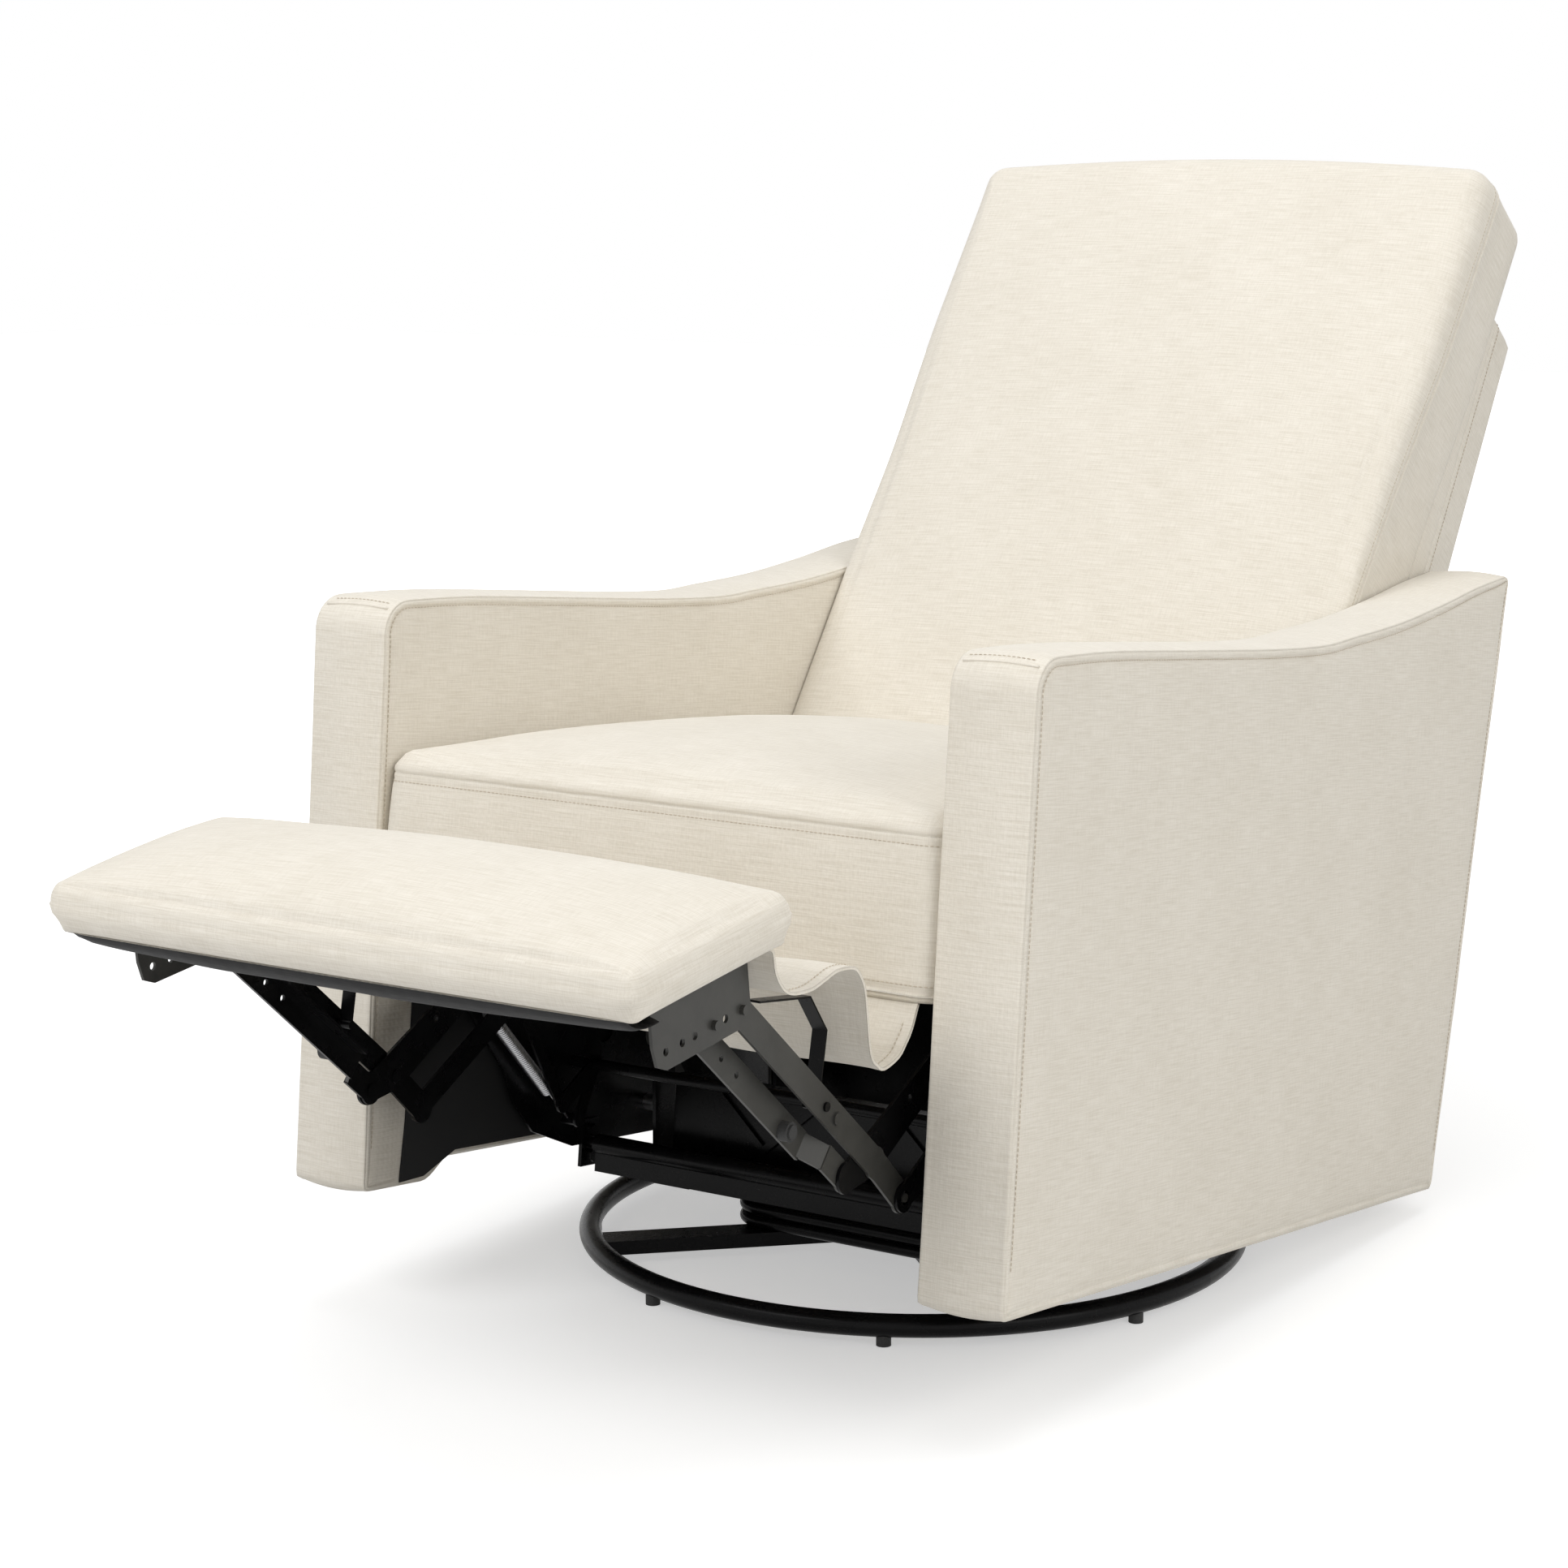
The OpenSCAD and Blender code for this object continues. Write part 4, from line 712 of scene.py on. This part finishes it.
# Shares of the outline for the rings of a crown, and for the bottom's two
CROWN_SCALES = (0.985, 0.965, 0.94, 0.90, 0.85, 0.79, 0.72, 0.64, 0.55, 0.45, 0.35, 0.24, 0.12)
FLAT_BOTTOM = [(0.5, 0.0), (0.9, 0.0)]

# The back cushion's edge curve, and its seam behind the front at each height up the back
BACK_ROLL = 0.056
BACK_SEAM = 0.040
SEAM_HEIGHTS = (0.0, 0.25, 0.40, 0.55, 0.72, 0.78)
SEAM_DEPTHS = (0.024, 0.024, 0.033, 0.039, 0.045, 0.046)
SEAM_REACH = 0.0065
REAR_EDGE = 0.025


def seam_depth(depth, height):
    """Moves the rows round the seam to its depth behind the front at each height."""
    target = np.interp(height, SEAM_HEIGHTS, SEAM_DEPTHS)
    near, far = BACK_SEAM - SEAM_REACH, BACK_SEAM + SEAM_REACH
    end = BACK_SIZE[2] - REAR_EDGE
    moved = depth + target - BACK_SEAM
    front = depth * (target - SEAM_REACH) / near
    rear = end - (end - depth) * (end - target - SEAM_REACH) / (end - far)
    moved = np.where(depth < near, front, np.where(depth > far, rear, moved))
    return np.where((depth < 0) | (depth > end), depth, moved)


def run_on_back(q, normals, depth, height):
    """A stitched run on the back's sides: points and outward directions on the level chair."""
    line = np.column_stack([q[:, 0], depth, height])
    directions = np.column_stack([normals[:, 0], np.zeros(len(q)), normals[:, 1]])
    return on_back(line), on_back(directions) - on_back(np.zeros((1, 3)))


def back_outline():
    """The back cushion's outline: the top edge bows up and the sides swell above the arms."""
    w, h = BACK_SIZE[:2]
    loop = rounded_rectangle(w, h, (0.025, 0.026, 0.026, 0.025), 0.007)
    share = 1 - np.clip(np.abs(loop[:, 0]) / (w / 2), 0, 1) ** 2
    loop[:, 1] += (0.006 + 0.015 * share) * np.clip((loop[:, 1] - 0.2) / 0.15, 0, 1)
    above_arms = np.clip((loop[:, 1] + 0.02) / 0.22, 0, 1)
    loop[:, 0] *= 1 + 0.024 * smooth_share(above_arms)
    return loop


def make_back():
    """The back cushion: a crowned front panel that curves over its edge to a seam on the side."""
    h, t = BACK_SIZE[1:]
    loop = back_outline()
    rows = [(0.0060, 0.0), (0.0015, 0.0020), (0.0, 0.007), (0.0, 0.025), (0.0, 0.055)]
    rows += seam_rows(0.0, t - BACK_SEAM, 0.0030, 0.0015, 0.0016)
    drop = BACK_SEAM - SEAM_REACH
    # The curve stops where its slope meets the crown's
    for a in np.radians(np.linspace(8, 62, 11)):
        rows.append((BACK_ROLL * (1 - math.cos(a) ** 0.75), t - drop * (1 - math.sin(a) ** 0.75)))
    crown = [(scale, 0.026, rows[-1][1]) for scale in CROWN_SCALES]
    verts, faces = close_loft(loft(loop, rows, crown, FLAT_BOTTOM, 0.85))
    # Loft height runs forward out of the back: turn it to the back's own frame
    local = np.column_stack([verts[:, 0], t - verts[:, 2], verts[:, 1] + h / 2])
    puff = soft_noise(local, 3.4, 7.0) * 0.0042 + soft_noise(local, 9.0, 2.0) * 0.0010
    local[:, 1] -= puff * np.clip((verts[:, 2] - t + 0.004) / 0.02, 0, 1)
    local[:, 1] = seam_depth(local[:, 1], local[:, 2])
    level = on_back(local)
    o = add_piece("back_cushion_cover", level, faces, CREAM, "back", flat=local)
    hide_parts("back_cushion")
    normals = outward(loop)
    parts = stretches(loop[:, 1] > -0.37)
    # The stitching runs on past the outline's first point
    if len(parts) == 2:
        parts = [np.concatenate([parts[1], parts[0]])]
    runs = []
    for part in parts:
        q = loop[part] + normals[part] * 0.0003
        height = q[:, 1] + h / 2
        depth = np.interp(height, SEAM_HEIGHTS, SEAM_DEPTHS) - 0.0072
        runs.append(run_on_back(q, normals[part], depth, height))
    stitches("back_stitches", runs, "back")


# The outer back, from low to high up the back, and its thickness at the top and at the foot
SHELL_LOW, SHELL_HIGH = 0.062, 0.684
SHELL_T = 0.074
SHELL_FOOT_T = 0.116
SHELL_W = 0.596
SHELL_SEAM = 0.024
SHELL_STITCH = 0.0315


def shell_depth(depth, height):
    """The shell is a wedge: it thickens from its top down to its foot."""
    share = (height - SHELL_LOW) / (SHELL_HIGH - SHELL_LOW)
    return depth * (SHELL_FOOT_T / SHELL_T + (1 - SHELL_FOOT_T / SHELL_T) * share)


def make_shell():
    """The outer back: a boxed panel behind the cushion with a sewn edge on each side."""
    t = SHELL_T
    y0 = BACK_SIZE[2] + 0.0003
    h = SHELL_HIGH - SHELL_LOW
    loop = rounded_rectangle(SHELL_W, h, (0.012, 0.010, 0.010, 0.012), 0.008)
    rows = [(0.004, 0.0), (0.001, 0.0012), (0.0, 0.004), (0.0, 0.016)]
    rows += seam_rows(0.0, SHELL_SEAM)
    rows += [(0.0, t - 0.012), (0.0006, t - 0.006), (0.003, t - 0.002), (0.008, t)]
    crown = [(scale, 0.003, t) for scale in (0.97, 0.9, 0.8, 0.65, 0.5, 0.3, 0.1)]
    verts, faces = close_loft(loft(loop, rows, crown, FLAT_BOTTOM))
    height = verts[:, 1] + SHELL_LOW + h / 2
    local = np.column_stack([verts[:, 0], y0 + shell_depth(verts[:, 2], height), height])
    local[:, 1] += soft_noise(local, 6.0, 5.0) * 0.0012 * (verts[:, 2] > t - 0.004)
    faces = [f[::-1] for f in faces]
    o = add_piece("back_shell_cover", on_back(local), faces, CREAM, "back", flat=local)
    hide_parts("back_shell")
    # The row of stitches starts and ends on the foot's edge
    order = np.roll(np.arange(len(loop)), 12)
    normals = outward(loop)[order]
    q = loop[order] + normals * 0.0004
    height = q[:, 1] + SHELL_LOW + h / 2
    depth = y0 + shell_depth(SHELL_STITCH, height)
    stitches("shell_stitches", [run_on_back(q, normals, depth, height)], "back")


# The seat: its front and rear, the border's foot and low seam, and the cushion's underside
SEAT_W = 0.6025
SEAT_FRONT, SEAT_REAR = -0.477, 0.172
BORDER_LOW, BORDER_SEAM = 0.322, 0.331
CUSHION_UNDER = 0.3925


def make_seat():
    """The seat: a crowned top panel seamed to a border that wraps the front of the frame."""
    loop = rounded_rectangle(SEAT_W, SEAT_REAR - SEAT_FRONT, (0.020, 0.03, 0.03, 0.020), 0.006)
    middle = (SEAT_FRONT + SEAT_REAR) / 2
    low, seam = BORDER_LOW, SEAT_SEAM_Z
    rows = [(0.0, low + 0.003), (-0.001, low + 0.006), (-0.001, BORDER_SEAM - 0.004),
            (0.0012, BORDER_SEAM), (-0.001, BORDER_SEAM + 0.003)]
    for z in np.linspace(0.340, seam - 0.012, 9):
        share = (z - BORDER_SEAM) / (seam - BORDER_SEAM)
        rows.append((-0.0035 * math.sin(math.pi * share), z))
    rows += seam_rows(0.0004, seam)
    rows += [(0.003, seam + 0.0095), (0.007, seam + 0.0130), (0.013, seam + 0.0170)]
    crown = [(scale, 0.046, seam + 0.0190) for scale in CROWN_SCALES]
    bottom = [(scale, CUSHION_UNDER) for scale in (0.5, 0.95, 0.9935)] + [(0.994, low)]
    rings = loft(loop, rows, crown, bottom)
    # Away from the front the border stops at the cushion's underside
    for ring in rings:
        drop = smooth_share(np.clip((-0.425 - ring[:, 1] - middle) / 0.025, 0, 1))
        raised = CUSHION_UNDER + (ring[:, 2] - CUSHION_UNDER) * drop
        ring[:, 2] = np.where(ring[:, 2] < CUSHION_UNDER, raised, ring[:, 2])
    verts, faces = close_loft(rings)
    verts[:, 1] += middle
    top = np.clip((verts[:, 2] - seam - 0.01) / 0.02, 0, 1)
    puff = soft_noise(verts, 4.0, 1.0) * 0.0045 + soft_noise(verts, 11.0, 4.0) * 0.0012
    verts[:, 2] += puff * top
    o = add_piece("seat_cushion_cover", verts, faces, CREAM, "chair_frame")
    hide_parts("seat_cushion", "seat_border")
    normals = outward(loop)
    front_part = np.where(loop[:, 1] + middle < -0.40)[0]
    order = front_part[np.argsort(np.arctan2(loop[front_part, 1] + 0.2, loop[front_part, 0]))]
    runs = []
    for z, lift in ((seam - 0.0078, 0.0002), (BORDER_SEAM + 0.0055, 0.0012)):
        q = loop[order] + normals[order] * lift
        line = np.column_stack([q[:, 0], q[:, 1] + middle, np.full(len(q), z)])
        runs.append((line, np.column_stack([normals[order], np.zeros(len(q))])))
    stitches("seat_stitches", runs, "chair_frame")


# The footrest pad: its rolled edge, and where it lies in the footrest's own frame
PAD_ROLL = 0.015
PAD_REAR = 0.036
PAD_LOW = 0.0496


def make_pad():
    """The footrest pad: cloth pulled over foam, with a small pleat at each corner."""
    w, l, t = PAD_SIZE
    loop = rounded_rectangle(w, l, (0.014, 0.014, 0.014, 0.014), 0.005)
    bow = 1 - np.clip(np.abs(loop[:, 0]) / (w / 2), 0, 1) ** 2
    loop[:, 1] += np.sign(loop[:, 1]) * 0.0025 * bow * (np.abs(loop[:, 1]) > l / 2 - 0.03)
    rows = [(0.012, 0.0), (0.0062, 0.0022), (0.0024, 0.0065), (0.0004, 0.0125), (-0.0012, t * 0.4),
            (-0.0015, t * 0.6)]
    for a in np.radians(np.linspace(0, 72, 8)):
        rows.append((PAD_ROLL * (1 - math.cos(a)), t - PAD_ROLL + PAD_ROLL * math.sin(a)))
    crown = [(scale, 0.032, t + 0.0002) for scale in CROWN_SCALES]
    verts, faces = close_loft(loft(loop, rows, crown, [(0.5, -0.0002), (0.93, -0.0002)]))
    low_edge = np.clip(1 - verts[:, 2] / 0.026, 0, 1) * (verts[:, 2] > 0.001)
    from_corner = [np.minimum(np.abs(np.abs(verts[:, k]) - PAD_SIZE[k] / 2), 0.05) for k in range(2)]
    pleat = np.exp(-(sum(from_corner) - 0.010) ** 2 / 0.00004) * low_edge
    verts[:, 0] *= 1 - 0.012 * pleat
    verts[:, 1] *= 1 - 0.03 * pleat
    verts[:, 2] += soft_noise(verts, 6.0, 9.0) * 0.0022 * np.clip((verts[:, 2] - t) / 0.01, 0, 1)
    verts[:, 1] += PAD_REAR - l / 2
    verts[:, 2] += PAD_LOW
    level = on_pad(verts)
    o = add_piece("footrest_pad_cover", level, faces, CREAM, "footrest", flat=verts)
    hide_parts("footrest_pad")


# The cloth behind the footrest, from the footrest's rear edge to the front of the seat
FLAP_LINE = [(-0.7105, 0.3852), (-0.7000, 0.3820), (-0.6940, 0.3640), (-0.6820, 0.3500),
             (-0.6660, 0.3440), (-0.6400, 0.3450), (-0.6200, 0.3515), (-0.6050, 0.3572),
             (-0.5880, 0.3590), (-0.5740, 0.3570), (-0.5620, 0.3450), (-0.5560, 0.3300),
             (-0.5440, 0.2860), (-0.5320, 0.2740), (-0.5200, 0.2700), (-0.4980, 0.2780),
             (-0.4880, 0.2885), (-0.4800, 0.3000), (-0.4720, 0.3217)]
FLAP_HALF = 0.285
FLAP_T = 0.0016
FLAP_HEM = 0.011
HEM_STEP = 0.0012
# A hem is this many times as thick as the single cloth
HEM_FOLD = 1.75


def flap_fold(x, along):
    """How far the hanging cloth swings out of its line at x, for each share of its length."""
    hang = np.sin(np.pi * along) ** 0.7
    wave = np.array([noise.noise(Vector((x * 4.0, a * 2.6, 1.7))) for a in along])
    return 0.0035 * wave * hang + 0.0016 * math.sin(x * 31) * hang


def make_flap():
    """The cloth that closes the gap behind the footrest: one hemmed sheet that hangs in folds."""
    line = catmull(FLAP_LINE, 0.004)
    d = np.gradient(line, axis=0)
    d /= np.linalg.norm(d, axis=1)[:, None]
    n = np.stack([-d[:, 1], d[:, 0]], -1)
    # Closer columns step the cloth up to its hem at each side
    hem = [FLAP_HALF - FLAP_HEM - HEM_STEP, FLAP_HALF - FLAP_HEM, FLAP_HALF - HEM_STEP, FLAP_HALF]
    xs = np.concatenate([[-x for x in reversed(hem)],
                         np.linspace(-FLAP_HALF + 0.02, FLAP_HALF - 0.02, 46), hem])
    count = len(line)
    along = np.linspace(0, 1, count)
    verts = []
    for sign in (1, -1):
        for x in xs:
            thick = FLAP_T / 2 * (HEM_FOLD if FLAP_HALF - abs(x) < FLAP_HEM else 1.0)
            q = line + n * (flap_fold(x, along) + sign * thick)[:, None]
            verts.append(np.column_stack([np.full(count, x), q]))
    verts = np.vstack(verts)
    half = len(xs) * count
    faces = grid_faces(len(xs), count, False)
    faces += [tuple(half + i for i in f[::-1]) for f in faces]
    faces += sheet_rim(len(xs), count)
    arc_length = np.concatenate([[0], np.cumsum(np.linalg.norm(np.diff(line, axis=0), axis=1))])
    flat = np.column_stack([np.repeat(xs, count), np.zeros(half), np.tile(arc_length, len(xs))])
    o = add_piece("footrest_flap_cloth", verts, faces, CREAM, "chair_frame",
                  flat=np.vstack([flat, flat]))
    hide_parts("footrest_flap")
    runs = []
    for side in (-1, 1):
        x = side * (FLAP_HALF - FLAP_HEM + 0.0015)
        q = line + n * (flap_fold(x, along) + FLAP_T / 2 * HEM_FOLD)[:, None]
        runs.append((np.column_stack([np.full(count, x), q])[3:-3],
                     np.column_stack([np.zeros(count), n])[3:-3]))
    s = stitches("flap_hem_stitches", runs, "chair_frame")
    for piece in (o, s):
        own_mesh(piece)


# The dust cloth: half its width at the brackets and in front of them, its depth and its sag
CAMBRIC_HALF, CAMBRIC_WIDE = 0.236, 0.284
CAMBRIC_DEPTH = 0.194
CAMBRIC_SAG = 0.025
CAMBRIC_T = 0.0006
CAMBRIC_REAR, CAMBRIC_TOP = 0.022, 0.0492


def make_cambric():
    """Black dust cloth that sags under the footrest between its brackets."""
    rows, columns = 34, 60
    verts = []
    for v in np.arange(rows) / (rows - 1):
        # In front of the brackets the cloth spreads to the pad's corners
        spread = smooth_share(min(max((v - 0.71) / 0.07, 0), 1))
        reach = CAMBRIC_HALF + (CAMBRIC_WIDE - CAMBRIC_HALF) * spread
        for u in np.arange(columns) / (columns - 1):
            x = reach * (2 * u - 1)
            hang = CAMBRIC_SAG * (1 - abs(2 * v - 1) ** 8)
            hang *= 0.55 + 0.45 * math.sin(math.pi * u) ** 0.4
            hang += 0.0035 * noise.noise(Vector((x * 14, v * 5, 0.3))) * math.sin(math.pi * v)
            verts.append((x, CAMBRIC_REAR - CAMBRIC_DEPTH * v, CAMBRIC_TOP - hang))
    count = rows * columns
    under = [(x, y, z - CAMBRIC_T) for x, y, z in verts]
    faces = grid_faces(rows, columns, False, flip=True)
    faces += [tuple(count + i for i in f[::-1]) for f in faces]
    faces += sheet_rim(rows, columns)
    local = np.array(verts + under)
    flat = np.column_stack([local[:, :2], np.zeros(len(local))])
    o = add_piece("footrest_dust_cloth", on_pad(local), faces, DUST, "footrest",
                  flat=flat)
    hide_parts("footrest_cambric")


# The assist spring's two eyes, the radii of its coil and wire, and its wound part
SPRING_X = 0.2805
SPRING_FIXED = np.array([-0.365, 0.258])
SPRING_HOOK = np.array([-0.192, 0.110])
COIL_R, WIRE_R = 0.0058, 0.0011
WOUND = 0.139
TURNS = 52
TURN_STEPS = 14


def spring_path(base, d, across, length):
    """The wire's line: a straight end, the coil and the other end, along the direction d."""
    up = np.cross(across, d)
    start = (length - WOUND) / 2
    path = [base + d * -0.003, base + d * (start - 0.012), base + d * (start - 0.005)]
    steps = TURNS * TURN_STEPS
    for k in range(steps + 1):
        a = 2 * math.pi * k / TURN_STEPS
        # The first and last points draw in to the straight ends
        taper = min(1, k / 10, (steps - k) / 10)
        path.append(base + d * (start + WOUND * k / steps)
                    + COIL_R * taper * (math.cos(a) * across + math.sin(a) * up))
    path += [base + d * (length - start + 0.005), base + d * (length - start + 0.012),
             base + d * (length + 0.003)]
    return np.array(path)


def make_spring(side):
    """A close-wound extension spring with a straight wire at each end."""
    name = "left" if side > 0 else "right"
    x = side * SPRING_X
    span = SPRING_HOOK - SPRING_FIXED
    length = float(np.linalg.norm(span))
    d = np.array([0, *(span / length)])
    across = np.array([1.0, 0, 0])
    path = spring_path(np.array([x, *SPRING_FIXED]), d, across, length)
    tangent = np.gradient(path, axis=0)
    tangent /= np.linalg.norm(tangent, axis=1)[:, None]
    sides = 8
    ref = np.where(np.abs(tangent @ d)[:, None] > 0.97, across, d)
    b = np.cross(tangent, ref)
    b /= np.linalg.norm(b, axis=1)[:, None]
    # Ring directions turn smoothly: carry each one on from the last
    for k in range(1, len(b)):
        v = b[k - 1] - tangent[k] * float(b[k - 1] @ tangent[k])
        b[k] = v / np.linalg.norm(v)
    c = np.cross(tangent, b)
    rings = [path + WIRE_R * (math.cos(2 * math.pi * k / sides) * b
                              + math.sin(2 * math.pi * k / sides) * c) for k in range(sides)]
    verts = np.stack(rings, 1).reshape(-1, 3)
    faces = grid_faces(len(path), sides, True) + tube_ends(len(path), sides)
    o = add_piece(f"assist_coil_{name}", verts, faces, ZINC, None)
    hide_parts(f"assist_spring_{name}")
    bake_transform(o)


dress_frame()
for side in (1, -1):
    make_arm(side)
    make_spring(side)
make_seat()
make_back()
make_shell()
make_pad()
make_flap()
make_cambric()


# Floor, light and camera
FLOOR_HALF = 14.0
FLOOR_Z = -0.0005
# The floor is seen lifted towards white: this much nearer than NEAR, and fully past FAR
FLOOR_LIFT = 0.46
NEAR, FAR = 1.3, 3.0
WORLD_LIGHT = 0.48
CAMERA_PLACE = (1.83602, -2.98694, 1.07991)
CAMERA_AZIMUTH, CAMERA_ELEVATION = math.radians(33.6862), math.radians(9.9322)
CAMERA_LENS = 83.122


def seen_rays(tree):
    """1 for rays from the camera and in gloss, so that these see the pale studio."""
    path = tree.nodes.new("ShaderNodeLightPath")
    seen = node(tree, "ShaderNodeMath", operation="MAXIMUM")
    tree.links.new(path.outputs["Is Camera Ray"], seen.inputs[0])
    tree.links.new(path.outputs["Is Glossy Ray"], seen.inputs[1])
    return seen.outputs[0]


def make_stage():
    """A flat floor that holds the chair's shadow."""
    mesh = bpy.data.meshes.new("floor")
    corners = [(-1, -1), (1, -1), (1, 1), (-1, 1)]
    mesh.from_pydata([(x * FLOOR_HALF, y * FLOOR_HALF, FLOOR_Z) for x, y in corners], [],
                     [(0, 1, 2, 3)])
    m, tree, shader = new_material("studio_floor", (0.72, 0.72, 0.72), 0.9)
    position = tree.nodes.new("ShaderNodeNewGeometry").outputs["Position"]
    away = node(tree, "ShaderNodeVectorMath", operation="LENGTH")
    tree.links.new(position, away.inputs[0])
    lift = node(tree, "ShaderNodeMapRange",
                **{"From Min": NEAR, "From Max": FAR, "To Min": FLOOR_LIFT, "To Max": 1.0})
    tree.links.new(away.outputs["Value"], lift.inputs["Value"])
    glow = node(tree, "ShaderNodeMath", operation="MULTIPLY")
    tree.links.new(lift.outputs["Result"], glow.inputs[0])
    tree.links.new(seen_rays(tree), glow.inputs[1])
    shader.inputs["Emission Color"].default_value = (1, 1, 1, 1)
    tree.links.new(glow.outputs[0], shader.inputs["Emission Strength"])
    mesh.materials.append(m)
    o = bpy.data.objects.new("floor", mesh)
    bpy.context.collection.objects.link(o)


def area_light(name, location, target, size, power, colour=(1, 1, 1)):
    """A soft lamp, turned to its target; the power is in watts."""
    data = bpy.data.lights.new(name, "AREA")
    data.shape = "RECTANGLE"
    data.size, data.size_y = size
    data.energy = power
    data.color = colour
    o = bpy.data.objects.new(name, data)
    bpy.context.collection.objects.link(o)
    o.location = location
    o.rotation_euler = (Vector(target) - Vector(location)).to_track_quat("-Z", "Y").to_euler()


def make_lights():
    """A white world, which lights the chair less than it is seen, and three lamps."""
    world = bpy.data.worlds.new("studio")
    world.use_nodes = True
    background = world.node_tree.nodes["Background"]
    background.inputs["Color"].default_value = (1, 1, 1, 1)
    strength = node(world.node_tree, "ShaderNodeMapRange")
    strength.inputs["To Min"].default_value = WORLD_LIGHT
    world.node_tree.links.new(seen_rays(world.node_tree), strength.inputs["Value"])
    world.node_tree.links.new(strength.outputs["Result"], background.inputs["Strength"])
    bpy.context.scene.world = world
    area_light("key", (-1.2, -3.6, 3.2), (0, -0.2, 0.5), (2.6, 2.0), 88)
    area_light("side", (3.6, -1.2, 2.2), (0, 0, 0.5), (2.4, 2.2), 50, (1, 0.985, 0.95))
    area_light("top", (0.2, 0.4, 3.6), (0, 0, 0.4), (2.8, 2.8), 40, (0.98, 0.99, 1.0))


def make_camera():
    """The photo's camera."""
    data = bpy.data.cameras.new("photo_camera")
    data.lens = CAMERA_LENS
    data.sensor_width = 36
    data.clip_end = 50
    o = bpy.data.objects.new("photo_camera", data)
    bpy.context.collection.objects.link(o)
    o.location = CAMERA_PLACE
    o.rotation_euler = (math.pi / 2 - CAMERA_ELEVATION, 0, CAMERA_AZIMUTH)
    bpy.context.scene.camera = o


make_stage()
make_lights()
make_camera()
bpy.context.scene.view_settings.view_transform = "Standard"
